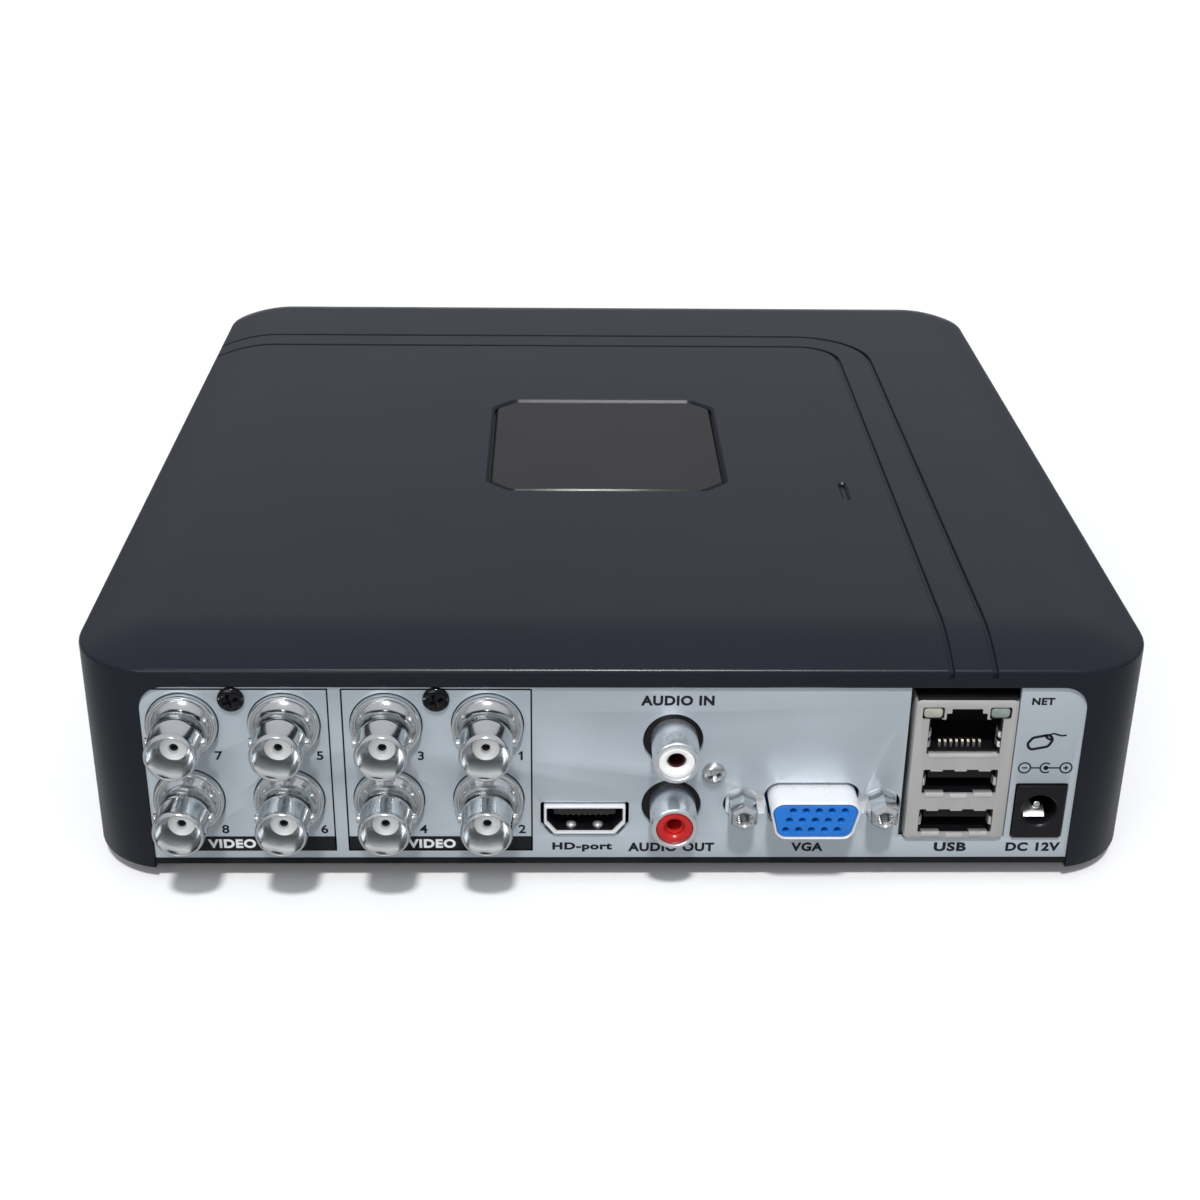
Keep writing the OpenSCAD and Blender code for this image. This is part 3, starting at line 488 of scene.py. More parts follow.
def crown_z(inset):
    """Height of the top at a distance in from the edge."""
    return TOP_Z - CROWN * max(0.0, 1 - inset / CROWN_W) ** 2


def edge_arc(steps=7):
    """The small radius between the side wall and the crowned top, as (inset, height) points."""
    slope = degrees(atan(2 * CROWN / CROWN_W * (1 - EDGE_R * 0.6 / CROWN_W)))
    turn = 90 - slope
    end = EDGE_R * (1 - cos(radians(turn)))
    base = crown_z(end) - EDGE_R * sin(radians(turn))
    return [(EDGE_R * (1 - cos(radians(turn * i / steps))),
             base + EDGE_R * sin(radians(turn * i / steps))) for i in range(steps + 1)]


def cover_profile():
    """Section through the wall and top, as (inset, height), from the top's inside to its outside."""
    rim = COVER_LOW.z
    inner = [(WALL + CROWN_W * t / 6, crown_z(CROWN_W * t / 6) - WALL) for t in range(6, -1, -1)]
    foot = [(WALL, rim + 0.3), (WALL - 0.3, rim), (0.45, rim), (0.13, rim + 0.13), (0, rim + 0.45)]
    arc_points = edge_arc()
    start = arc_points[-1][0]
    crown = [(start + (CROWN_W - start) * t / 16, crown_z(start + (CROWN_W - start) * t / 16))
             for t in range(1, 17)]
    return inner + foot + arc_points + crown


def inset_of(x, y):
    """Distance of a point in from the case's outline, and the outward direction there."""
    centre = (COVER_LOW + COVER_HIGH) / 2
    half = (COVER_HIGH - COVER_LOW) / 2
    dx, dy = abs(x - centre.x) - (half.x - CORNER_R), abs(y - centre.y) - (half.y - CORNER_R)
    sx, sy = copysign(1, x - centre.x), copysign(1, y - centre.y)
    if dx > 0 and dy > 0:
        reach = hypot(dx, dy)
        return CORNER_R - reach, Vector((sx * dx / reach, sy * dy / reach, 0))
    if dx > dy:
        return CORNER_R - dx, Vector((sx, 0, 0))
    return CORNER_R - dy, Vector((0, sy, 0))


def groove_path(offset):
    """Path of one groove over the cover, with the surface normals: up the rear face, over the edge,
    along the top, round its corner and down over the left side."""
    groove_x, groove_y, turn_r = 58.0, REAR_Y + 160.0, 9.6
    centre = (groove_x - turn_r, groove_y - turn_r)
    radius = turn_r + offset
    foot_z = EDGE_Z - 1.4
    path, normals = [], []

    def over_edge(point_at, outward):
        for inset, height in reversed(edge_arc(5)):
            lean = inset / EDGE_R
            path.append(point_at(inset, height))
            normals.append((outward * (1 - lean) + Vector((0, 0, 1)) * sqrt(lean)).normalized())
        path.append(point_at(0, foot_z))
        normals.append(outward.copy())

    def on_top(x, y):
        inset, outward = inset_of(x, y)
        slope = 2 * CROWN / CROWN_W * max(0.0, 1 - inset / CROWN_W)
        path.append(Vector((x, y, crown_z(inset))))
        normals.append((outward * slope + Vector((0, 0, 1))).normalized())

    x = centre[0] + radius
    over_edge(lambda inset, height: Vector((x, REAR_Y + inset, height)), Vector((0, -1, 0)))
    path.reverse()
    normals.reverse()
    for t in range(1, 13):
        on_top(x, REAR_Y + CROWN_W * t / 12)
    for px, py in arc(centre, radius, 0, 90, 24):
        on_top(px, py)
    y = centre[1] + radius
    for t in range(12, 0, -1):
        on_top(COVER_LOW.x + CROWN_W * t / 12, y)
    over_edge(lambda inset, height: Vector((COVER_LOW.x + inset, y, height)), Vector((-1, 0, 0)))
    return path, normals


def groove_cutter(offset):
    section = [(-0.95, 0.4), (-0.6, 0.0), (-0.44, -0.12), (-0.34, -0.62), (0.34, -0.62), (0.44, -0.12),
               (0.6, 0.0), (0.95, 0.4)]
    return sweep(*groove_path(offset), section)


def recess_cutter(outline, floor, chamfer):
    """Cutter for a recess in the flat top, with a chamfer round its mouth."""
    rings = [(0, floor), (0, TOP_Z - chamfer), (chamfer, TOP_Z), (chamfer + 0.5, TOP_Z + 0.5)]
    return stacked(outline, rings)


def tick_cutter():
    """Cutter for the short slot beside the grooves."""
    slot = round_rect((48.0, REAR_Y + 65.8), (49.1, REAR_Y + 74.3), 0.3, 3)
    return recess_cutter(slot, TOP_Z - 0.7, 0.35)


def panel_opening():
    """Cutter for the rear opening: square below, round corners above, its outer edge eased."""
    gap, radius = 0.06, 4.7
    half, top = PANEL_HIGH.x + gap, PANEL_HIGH.z + gap
    outline = (arc((half - radius, top - radius), radius, 0, 90, 10)
               + arc((radius - half, top - radius), radius, 90, 180, 10) + [(-half, -5), (half, -5)])
    rings = [(0, -WALL - 1), (0, -0.3), (0.1, -0.1), (0.3, 0), (0.8, 0.5)]
    return on_panel(stacked(outline, rings), 0, 0, REAR_Y)


def cover_posts():
    """Posts for the cover's screws, with the hole that each screw cuts its thread in."""
    low, high = node_box("cover_screws")
    tray_top = node_box("base_tray")[0].z + 1.2
    shapes = []
    for x in (low.x + 2.9, high.x - 2.9):
        for y in (low.y + 2.9, high.y - 2.9):
            top = crown_z(4) - 0.3
            profile = [(1.25, tray_top), (3.5, tray_top), (3.5, top), (0, top), (0, tray_top + 12),
                       (1.25, tray_top + 12)]
            shapes.append(moved(lathe(profile, 32), (x, y, 0)))
    return shapes


def make_cover():
    cover = scratch_object("cover", loft([[(x, y, z) for x, y in case_outline(inset)]
                                          for inset, z in cover_profile()]))
    for offset in (0, 7.6):
        combine(cover, groove_cutter(offset))
    low, high = node_box("badge_plate")
    badge = cut_rect((low.x - 0.3, low.y - 0.3), (high.x + 0.3, high.y + 0.3), BADGE_CUT, 2.6)
    combine(cover, recess_cutter(badge, low.z, 0.55))
    combine(cover, tick_cutter())
    for post in cover_posts():
        combine(cover, post, "UNION")
    combine(cover, panel_opening())
    low, high = node_box("front_window")
    window = round_rect((-30, low.z + 3), (30, high.z - 3), 0.5, 3)
    shape = stacked(window, [(0, -WALL - 1), (0, -0.25), (0.25, 0), (0.75, 0.5)])
    combine(cover, moved(shape, (0, COVER_HIGH.y, 0), Matrix.Rotation(radians(-90), 4, "X")
                         @ Matrix.Scale(-1, 4, (0, 1, 0))))
    finished(cover, "case_plastic", ["top_cover"], radians(25))
    cover.name = "cover_shell"


def make_panel():
    """Rear panel with eased edges round its outline and its openings, and its fold on the tray."""
    low, high = node_box("rear_panel")
    depth = 1.0
    half, radius = high.x, 4.5
    outline = ([(-half, low.z), (half, low.z)] + arc((half - radius, high.z - radius), radius, 0, 90, 10)
               + arc((radius - half, high.z - radius), radius, 90, 180, 10))
    panel = scratch_object("panel_sheet", prism(outline, -depth, 0, 0.16, 3, 0.0))
    holes = [circle(middle(f"video_jack_{n}"), 6.36) for n in range(1, 9)]
    holes += [circle(middle(f"audio_{way}_sleeve") + Vector((-0.25, 0, 0.2)), 5.3)
              for way in ("in", "out")]
    vga, port = middle("vga_shell"), middle("hd_port_tongue")
    holes.append(shifted(vga_outline(0.7), vga.x, vga.z))
    for side in (-1, 1):
        holes.append(circle(Vector((vga.x + side * POST_PITCH / 2, 0, vga.z)), 3.4))
    for side in (-1, 1):
        tab = vga.x + side * 10.4
        holes.append(round_rect((tab - 2.2, vga.z - 1.9), (tab + 2.2, vga.z + 1.9), 0.3, 2))
    holes.append(shifted(hd_outline(7.9, 3.45, 0.4), port.x, port.z))
    a, b = node_box("dc_jack_body")
    holes.append(round_rect((a.x - 0.2, a.z - 0.1), (b.x + 0.2, b.z + 0.3), 0.3, 2))
    can = node_box("net_usb_can")
    holes.append(round_rect((can[0].x - 0.8, can[0].z - 0.1), (can[1].x + 0.2, high.z + 5), 0.2, 2))
    eased = [(0, -depth - 1), (0, -0.12), (0.04, -0.04), (0.12, 0), (0.6, 0.48)]
    for hole in holes:
        combine(panel, stacked(hole, eased))
    foot = slab((-half + 2, low.z, -8), (half - 2, low.z + 0.9, -depth + 0.01), 0.05, 0.2)
    combine(panel, foot, "UNION")
    finished(stood(panel, 0, 0), "panel_paint", ["rear_panel"])


def make_badge():
    low, high = node_box("badge_plate")
    outline = cut_rect((low.x, low.y), (high.x, high.y), BADGE_CUT - 0.18, 2.4)
    piece("badge_face", prism(outline, low.z, high.z, 0.6, 1, 0.0), "gloss_trim", ["badge_plate"])


def make_window():
    low, high = node_box("front_window")
    lip = slab((low.x, low.z, 0), (high.x, high.z, 1.2), 0.15, 0.8)
    rim = 3.15
    lens = slab((low.x + rim, low.z + rim, 1.0), (high.x - rim, high.z - rim, high.y - low.y), 0.3, 0.5)
    turn = Matrix(((1, 0, 0, 0), (0, 0, 1, 0), (0, 1, 0, 0), (0, 0, 0, 1)))
    glass = scratch_object("window_glass", moved(lip, (0, low.y, 0), turn))
    combine(glass, moved(lens, (0, low.y, 0), turn), "UNION")
    finished(glass, "smoked_window", ["front_window"])


def make_feet():
    low, high = node_box("rubber_feet")
    r = 6.5
    profile = ([(0, 0.35), (r - 2.2, 0.35), (r - 2.0, 0)] + arc((r - 0.8, 0.8), 0.8, -90, 0, 5)
               + [(r, high.z - 0.1), (r - 0.1, high.z), (0, high.z)])
    feet = [moved(lathe(profile), (x, y, 0))
            for x in (low.x + r, high.x - r) for y in (low.y + r, high.y - r)]
    piece("feet", joined(*feet), "rubber", ["rubber_feet"])


# ---- screws

def screw_shape(head_r, head_h, shank_r, length):
    """Pan-head screw with a cross recess. Its head stands from d 0 to head_h, its shank goes below."""
    dome = [(head_r * cos(radians(a)), head_h * (0.35 + 0.65 * sin(radians(a))))
            for a in (0, 15, 30, 45, 60, 75)]
    threads = []
    pitch = 0.8
    root_r = shank_r * 0.8
    for k in range(int(length / pitch)):
        start = -pitch * k
        threads += [(root_r, start - 0.1), (shank_r, start - 0.4), (root_r, start - 0.7)]
    body = lathe([(0, head_h)] + dome[::-1] + [(head_r, 0)] + threads + [(0, -length)], 40)
    blank = scratch_object("blank", body)
    w, t = head_r * 0.72, head_r * 0.17
    for turn in (0, 90):
        rings = [[(u, v, height) for u, v in ((-a, -b), (a, -b), (a, b), (-a, b))]
                 for a, b, height in ((w * 0.35, t * 0.6, head_h * 0.3), (w, t, head_h + 0.1))]
        combine(blank, moved(loft(rings), turn=Matrix.Rotation(radians(turn + 20), 4, "Z")))
    return taken(blank)


def make_screws():
    low, high = node_box("video_screws")
    shape = screw_shape(2.35, 1.1, 1.2, 8)
    places = [(x, (low.z + high.z) / 2) for x in (low.x + 2.35, high.x - 2.35)]
    piece("video_fixing_screws", joined(*[on_panel(shape, x, z) for x, z in places]),
          "black_screw", ["video_screws"])
    spot = middle("audio_screw")
    piece("audio_fixing_screw", on_panel(screw_shape(2.1, 1.5, 1.2, 5), spot.x, spot.z),
          "bright_steel", ["audio_screw"])
    for name, node, head_r, shank_r, length, look in (
            ("cover_fixing_screws", "cover_screws", 2.9, 1.2, 11, "black_screw"),
            ("drive_fixing_screws", "drive_screws", 3.0, 1.5, 7, "bright_steel")):
        low, high = node_box(node)
        shape = screw_shape(head_r, 1.6, shank_r, length)
        flip = Matrix.Rotation(pi, 4, "X")
        spots = [(x, y, low.z + 1.6) for x in (low.x + head_r, high.x - head_r)
                 for y in (low.y + head_r, high.y - head_r)]
        piece(name, joined(*[moved(shape, spot, flip) for spot in spots]), look, [node])


# ---- video and audio jacks

def jack_shape():
    """Bayonet jack: dished flange, neck, then the barrel with two lugs and an open mouth."""
    tip = PANEL_Y - node_box("video_jack_1")[0].y
    floor = tip - 8.6
    profile = ([(2.8, floor), (3.95, floor)]
               + below(tip, [(3.95, 0.3), (4.0, 0.08), (4.09, 0), (4.24, 0), (4.39, 0.12), (4.54, 0.5),
                             (4.6, 0.9), (4.6, 4.9), (4.66, 5.0), (4.66, 5.7), (4.5, 5.95), (4.2, 6.1),
                             (4.14, 6.2)])
               + [(4.14, 3.1), (4.2, 2.6), (4.4, 2.05), (4.7, 1.55), (5.05, 1.12), (5.35, 0.86),
                  (5.48, 0.84), (5.58, 1.0), (5.68, 1.2), (5.84, 1.3), (6.02, 1.26), (6.16, 1.1),
                  (6.2, 0.9), (6.2, -1.0), (5.4, -1.0), (5.4, -12.9), (2.8, -12.9)])
    jack = scratch_object("jack", lathe(profile, 96))
    lug = lathe([(0, -0.05), (0.9, -0.05), (0.9, 0.95), (0.82, 1.08), (0.62, 1.15), (0, 1.17)], 24)
    for side in (-1, 1):
        turn = Matrix.Rotation(radians(90 * side), 4, "Y")
        combine(jack, moved(lug, (side * 4.15, 0, tip - 5.6), turn), "UNION")
    return taken(jack), tip


def make_video_jacks():
    shape, tip = jack_shape()
    face = PANEL_Y - node_box("video_insulators")[0].y
    insulator = lathe([(0.72, -8.9), (2.75, -8.9)] + below(tip, [(2.75, 8.7), (2.4, 8.5)])
                      + below(face, [(2.4, 0.3), (2.32, 0.08), (2.15, 0), (1.05, 0), (0.86, 0.15),
                                     (0.72, 0.5)]), 48)
    contact = lathe(below(face, [(0.42, 6), (0.7, 6), (0.7, 2.4), (0.62, 2.2), (0.42, 2.3)]), 24)
    # The black rings inside the insulators' holes are painted shade: they stand in for the dark of the
    # holes round the contacts.
    rim = lathe(below(face, [(0.3, 1.4), (0.7, 1.4), (0.7, 0.5), (0.58, 0.38), (0.3, 0.6)]), 24)
    insulators, contacts, bore_shades = [], [], []
    for n in range(1, 9):
        node = f"video_jack_{n}"
        spot = middle(node)
        piece(f"{node}_body", on_panel(shape, spot.x, spot.z), "nickel", [node])
        insulators.append(on_panel(insulator, spot.x, spot.z))
        contacts.append(on_panel(contact, spot.x, spot.z))
        bore_shades.append(on_panel(rim, spot.x, spot.z))
    piece("video_jack_cores", joined(*insulators), "white_insulator", ["video_insulators"])
    piece("video_jack_contacts", joined(*contacts), "brass_gold", ["video_contacts"])
    piece("video_jack_bore_shade", joined(*bore_shades), "socket_black")


def make_audio_jacks():
    for way, look in (("in", "white_insulator"), ("out", "red_insulator")):
        node = f"audio_{way}_sleeve"
        spot = middle(node)
        tip = PANEL_Y - node_box(node)[0].y
        r = 4.15
        sleeve = lathe([(3.22, -9), (r, -9)]
                       + below(tip, [(r, 0.5), (r - 0.1, 0.16), (r - 0.3, 0), (3.42, 0), (3.28, 0.1),
                                     (3.22, 0.3)]))
        core = lathe([(0, -9), (3.2, -9)]
                     + below(tip, [(3.2, 0.7), (3.1, 0.42), (2.85, 0.3), (2.35, 0.3), (1.95, 0.42),
                                   (1.68, 0.75), (1.65, 1.2), (1.65, 6), (0, 6)]))
        cup = lathe(below(tip, [(0, 6), (1.64, 6), (1.64, 1.5), (1.3, 1.6), (1.15, 5), (0, 5)]), 40)
        collar = lathe([(4.2, -9), (5.7, -9), (5.7, -1.1), (4.2, -1.1)])
        piece(f"audio_{way}_collar", on_panel(collar, spot.x, spot.z), "socket_black")
        # The cup down each hole: painted shade in dark brown for the white jack, the red insulator's
        # colour for the red one.
        clip = "clip_shade_brown" if way == "in" else "red_insulator"
        piece(f"audio_{way}_clip", on_panel(cup, spot.x, spot.z), clip)
        piece(f"audio_{way}_ring", on_panel(sleeve, spot.x, spot.z), "satin_nickel", [node])
        piece(f"audio_{way}_core", on_panel(core, spot.x, spot.z), look, [f"audio_{way}_insulator"])


# ---- flat sockets

def hd_outline(w, h, radius=0.3):
    """Outline of the flat port: square above, stepped in below."""
    return rounded([(w, h), (-w, h), (-w, -h + 2.2), (-w + 0.6, -h + 1.5), (-w + 1.8, -h), (w - 1.8, -h),
                    (w - 0.6, -h + 1.5), (w, -h + 2.2)], radius, 3)


def make_hd_port():
    spot = middle("hd_port_tongue")
    w, h = 7.3, 2.95
    sections = [(0, -12), (0, 0.35), (0.06, 0.54), (0.2, 0.6), (0.44, 0.54), (0.5, 0.35), (0.5, -12)]
    shell = scratch_object("hd_shell", loft([[(u, v, d) for u, v in hd_outline(w - inset, h - inset)]
                                             for inset, d in sections], closed=True))
    for side in (-1, 1):
        for start in (-9, -4):
            rib = slab((side * 7.1 - 0.18, -4.0, start), (side * 7.1 + 0.18, 0, start + 1.6), 0.05, 0.1)
            combine(shell, rib, "UNION")
    finished(stood(shell, spot.x, spot.z), "bright_tin", ["hd_port_shell"])
    w, h = w - 0.52, h - 0.52
    # The black lining inside the metal shell is painted shade: the shell's inside is metal that lies in
    # shade. The back behind it is the socket's own black plastic.
    shade_liner = loft([[(u, v, d) for u, v in hd_outline(w - inset, h - inset)]
                  for inset, d in [(0, -11.6), (0, 0.1), (0.14, 0.0), (0.14, -11.6)]], closed=True)
    back = prism(hd_outline(w - 0.2, h - 0.2), -11.5, -9.0)
    tongue = slab((-5.6, 0.1, -9.2), (5.6, 1.2, -1.2), 0.15, 0.2)
    piece("hd_port_core_and_shade_liner", on_panel(joined(shade_liner, back), spot.x, spot.z), "socket_black",
          ["hd_port_tongue"])
    piece("hd_port_blade", on_panel(tongue, spot.x, spot.z), "tongue_grey")
    strips = [slab((u - 0.16, v, -8.9), (u + 0.16, v + 0.06, -1.2), 0.01, 0.02)
              for count, v in ((10, 1.2), (9, 0.04))
              for u in [(i - (count - 1) / 2) for i in range(count)]]
    piece("hd_port_contacts", on_panel(joined(*strips), spot.x, spot.z), "brass_gold")
    dome = lathe([(0, -0.2), (0.95, -0.2), (0.95, 0), (0.85, 0.3), (0.5, 0.55), (0, 0.65)], 24)
    upward = Matrix.Rotation(radians(-90), 4, "X")
    domes = [moved(dome, (u, -h + 0.2, -1.6), upward) for u in (-2.4, 2.4)]
    piece("hd_port_springs", on_panel(joined(*domes), spot.x, spot.z), "spring_sheet")


def vga_outline(amount=0.0):
    """Outline of the D-shaped shell, its wide side up."""
    top, low, h, r = 7.95, 7.2, 3.85, 2.3
    corners = [(top - r, h - r, 0, 95), (r - top, h - r, 85, 180), (r - low, r - h, 180, 275),
               (low - r, r - h, 265, 360)]
    return grown([p for u, v, start, stop in corners for p in arc((u, v), r, start, stop, 7)], amount)


def make_vga():
    low, high = node_box("vga_shell")
    x, z = (low.x + high.x) / 2, (low.z + high.z) / 2
    tip = PANEL_Y - low.y
    section = ([(0, -2.0)] + below(tip, [(0, 0.3), (-0.07, 0.1), (-0.22, 0), (-0.37, 0.08), (-0.45, 0.3)])
               + [(-0.45, -2.0)])
    sleeve = stacked(vga_outline(), section, closed=True)
    flange = round_rect((low.x - x, low.z - z), (high.x - x, high.z - z), 0.8, 4)
    plate = scratch_object("plate", prism(flange, -2.0, -1.0, 0.15, 2))
    combine(plate, prism(vga_outline(0.6), -3, 0))
    for side in (-1, 1):
        screw_hole = lathe([(0, -3), (1.6, -3), (1.6, 0), (0, 0)], 24)
        combine(plate, moved(screw_hole, (side * POST_PITCH / 2, 0, 0)))
    piece("vga_sleeve", on_panel(joined(sleeve, taken(plate)), x, z), "bright_tin", ["vga_shell"])

    core = scratch_object("vga_core", prism(vga_outline(-0.5), -5.0, tip - 0.15, 0.35, 3, 0.0))
    combine(core, slab((-9, -7, -13), (9, 5, -5), 0.3, 0.4), "UNION")
    hole = lathe(below(tip, [(0, 5), (0.45, 5), (0.45, 0.7), (0.68, 0.15), (0.68, -0.5), (0, -0.5)]), 20)
    holes = [moved(hole, (i * 2.29 + row * 0.57, row * 1.98 + 0.1, 0))
             for row in (-1, 0, 1) for i in range(-2, 3)]
    combine(core, joined(*holes))
    finished(stood(core, x, z), "socket_blue", ["vga_insert"])
    make_hex_posts(x, z)


def make_hex_posts(x, z):
    """Hex posts beside the monitor socket, with chamfered ends and a threaded hole."""
    angles = [radians(60 * i + 30) for i in range(6)]
    rings = [(2.6, -0.98), (2.75, -0.8), (2.75, 4.1), (2.6, 4.4), (1.95, 5.0)]
    post = scratch_object("post", loft([[(r * cos(a), r * sin(a), d) for a in angles]
                                        for r, d in rings]))
    combine(post, moved(lathe([(0, -5), (1.5, -5), (1.5, 0.2), (0, 0.2)], 32)), "UNION")
    thread = [(0, 5.2), (1.75, 5.2), (1.3, 4.75)]
    for k in range(7):
        thread += [(1.32, 4.6 - 0.6 * k), (1.12, 4.3 - 0.6 * k)]
    combine(post, lathe(thread + [(1.1, 0.4), (0, 0.4)], 32))
    shape = taken(post)
    posts = [on_panel(shape, x + side * POST_PITCH / 2, z) for side in (-1, 1)]
    piece("vga_posts", joined(*posts), "nickel", ["vga_hex_posts"])


def make_net_usb():
    """Steel can round the network and USB sockets, with its spring fingers, contacts, USB tongue pieces
    and a block of painted shade in the gap beside it.
    """
    low, high = node_box("net_usb_can")
    x = (low.x + high.x) / 2
    w = (high.x - low.x) / 2
    out = PANEL_Y - low.y
    back = PANEL_Y - high.y
    floor = low.z
    top = high.z - low.z - 0.9
    can = scratch_object("can", slab((-w, 0, back), (w, top, out), 0.75, 0.95))
    hollow = slab((-w + 0.4, 0.4, back - 1), (w - 0.4, top - 0.4, out - 0.4), 0.2, 0.5)
    combine(can, hollow, solver="EXACT")
    steps = [(6.5, NET_LOW), (6.5, NET_HIGH), (3.6, NET_HIGH), (3.6, NET_HIGH + 1.2),
             (2.7, NET_HIGH + 1.2), (2.7, NET_HIGH + 2.1)]
    slots = [rounded(steps + [(-u, v) for u, v in reversed(steps)], 0.12, 2)]
    slots += [round_rect((-6.65, z), (6.65, z + 5), 0.2, 2) for z in USB_LEVELS]
    for node, side in (("net_light_left", -1), ("net_light_right", 1)):
        a, b = node_box(node)
        slots.append(round_rect((a.x - x - LIGHT_SHIFT * side - 0.22, a.z - floor - 0.22),
                                (b.x - x - LIGHT_SHIFT * side + 0.22, b.z - floor + 0.22), 0.4, 3))
    for outline in slots:
        combine(can, prism(outline, out - 1, out + 1), solver="EXACT")
    finished(stood(can, x, floor), "plated_sheet", ["net_usb_can"])

    fingers = []
    for z in USB_LEVELS:
        for u, width, drop in ((-4.35, 3.3, 0.0), (0, 3.0, 0.3), (4.35, 3.3, 0.0)):
            fingers.append(lip(u, z - drop, width, out, 1.1 + 3 * drop))
        for side in (-1, 1):
            fingers.append(side_finger(side * 6.5, z + 2.5, 1.6, side, out))
        for u in (-4.3, 0, 4.3):
            fingers.append(slab((u - 1.1, z + 4.55, out - 2.5), (u + 1.1, z + 4.95, out - 0.1),
                                0.1, 0.14))
    fingers.append(lip(0, NET_LOW, 12.2, out, 1.6))
    for side in (-1, 1):
        for z in (NET_LOW + 2.0, NET_LOW + 4.0):
            fingers.append(side_finger(side * 6.35, z, 1.1, side, out))
    for u in (-3.2, 3.2):
        fingers.append(slab((u - 1.3, top - 0.05, out - 5), (u + 1.3, top + 0.35, out - 1.8), 0.1, 0.14))
    piece("socket_springs", on_panel(joined(*fingers), x, floor), "spring_sheet")
    tongues_and_gap_shade = [slab((-5.65, z + 2.75, out - 13), (5.65, z + 4.45, out - 2.4), 0.25, 0.3)
               for z in USB_LEVELS]
    # The dark grey block in the gap left of the can, behind the panel, is painted shade: it hides the
    # board seen through the gap.
    tongues_and_gap_shade.append(slab((-w - 0.78, 0.02, -7), (-w - 0.02, 3.0, -1.1), 0.1, 0.2))
    piece("usb_tongues_and_gap_shade", on_panel(joined(*tongues_and_gap_shade), x, floor), "tongue_grey")

    wires = []
    for i in range(8):
        u = (i - 3.5) * 1.02 - 0.25
        path = [Vector((u, NET_LOW + v, out - back)) for v, back in
                ((0.0, 8.6), (0.5, 5.0), (1.2, 3.2), (1.4, 2.7), (1.2, 2.4), (0.35, 2.3))]
        normals = [Vector((0, 1, 0.2)).normalized()] * len(path)
        wires.append(sweep(path, normals, [(-0.22, -0.1), (0.22, -0.1), (0.22, 0.1), (-0.22, 0.1)]))
    piece("net_wires", on_panel(joined(*wires), x, floor), "pale_gold", ["net_contacts"])

    for side, node, look in ((-1, "net_light_left", "light_amber"),
                             (1, "net_light_right", "light_green")):
        a, b = node_box(node)
        shape = slab((a.x - x - LIGHT_SHIFT * side, a.z - floor, PANEL_Y - b.y),
                     (b.x - x - LIGHT_SHIFT * side, b.z - floor, PANEL_Y - a.y), 0.4, 0.7)
        piece(f"{node}_lens", on_panel(shape, x, floor), look, [node])


def lip(u, v, width, out, deep):
    """Sheet folded round an opening's lower edge: down over the front, then back into the opening."""
    rows = [(-0.62, 0.03), (-0.4, 0.14), (-0.12, 0.17), (0.14, 0.06), (0.24, -0.2), (0.22, -0.5 * deep),
            (0.05, -deep)]
    path = [Vector((u, v + up, out + ahead)) for up, ahead in rows]
    normals = [Vector((0, 0.5, 0.87))] * 3 + [Vector((0, 0.8, 0.6))] * 2 + [Vector((0, 1, 0))] * 2
    half = width / 2
    return sweep(path, normals, [(-half, -0.09), (half, -0.09), (half, 0.09), (-half, 0.09)])


def side_finger(u, v, height, side, out):
    """Spring tongue bent inwards from an opening's upright edge."""
    rows = [(0.05, 0.0), (0.4, 0.35), (1.4, 0.55), (2.8, 0.1)]
    path = [Vector((u - side * across, v, out - back)) for back, across in rows]
    normals = [Vector((side, 0, 0))] * len(path)
    half = height / 2
    return sweep(path, normals, [(-half, -0.08), (half, -0.08), (half, 0.08), (-half, 0.08)])


def make_power_inlet():
    low, high = node_box("dc_jack_body")
    x, z = (low.x + high.x) / 2, middle("dc_jack_pin").z
    out = PANEL_Y - low.y
    body = scratch_object("inlet", slab((low.x - x, low.z - z, PANEL_Y - high.y),
                                        (high.x - x, high.z - z, out), 0.4, 0.5))
    bore = below(out, [(0, -0.6), (3.75, -0.6), (3.35, 0.1), (3.15, 0.35)]) + [(3.15, -10), (0, -10)]
    combine(body, lathe(bore, 64))
    finished(stood(body, x, z), "socket_black", ["dc_jack_body"])
    pin = lathe([(0, -12), (1, -12), (1, -2.2), (0.92, -1.85), (0.7, -1.55), (0.4, -1.42), (0, -1.4)], 32)
    leaf_path = [Vector((-0.4, v, d)) for v, d in
                 ((-2.3, -9.0), (-1.2, -5.5), (-0.9, -3.9), (-1.4, -2.4), (-2.3, -1.2))]
    leaf = sweep(leaf_path, [Vector((0, 1, 0))] * 5, [(-1.9, -0.1), (1.9, -0.1), (1.9, 0.1), (-1.9, 0.1)])
    piece("inlet_pin", on_panel(pin, x, z), "nickel", ["dc_jack_pin"])
    piece("inlet_spring", on_panel(leaf, x, z), "spring_sheet")


# ---- print on the rear panel

INK = 0.03


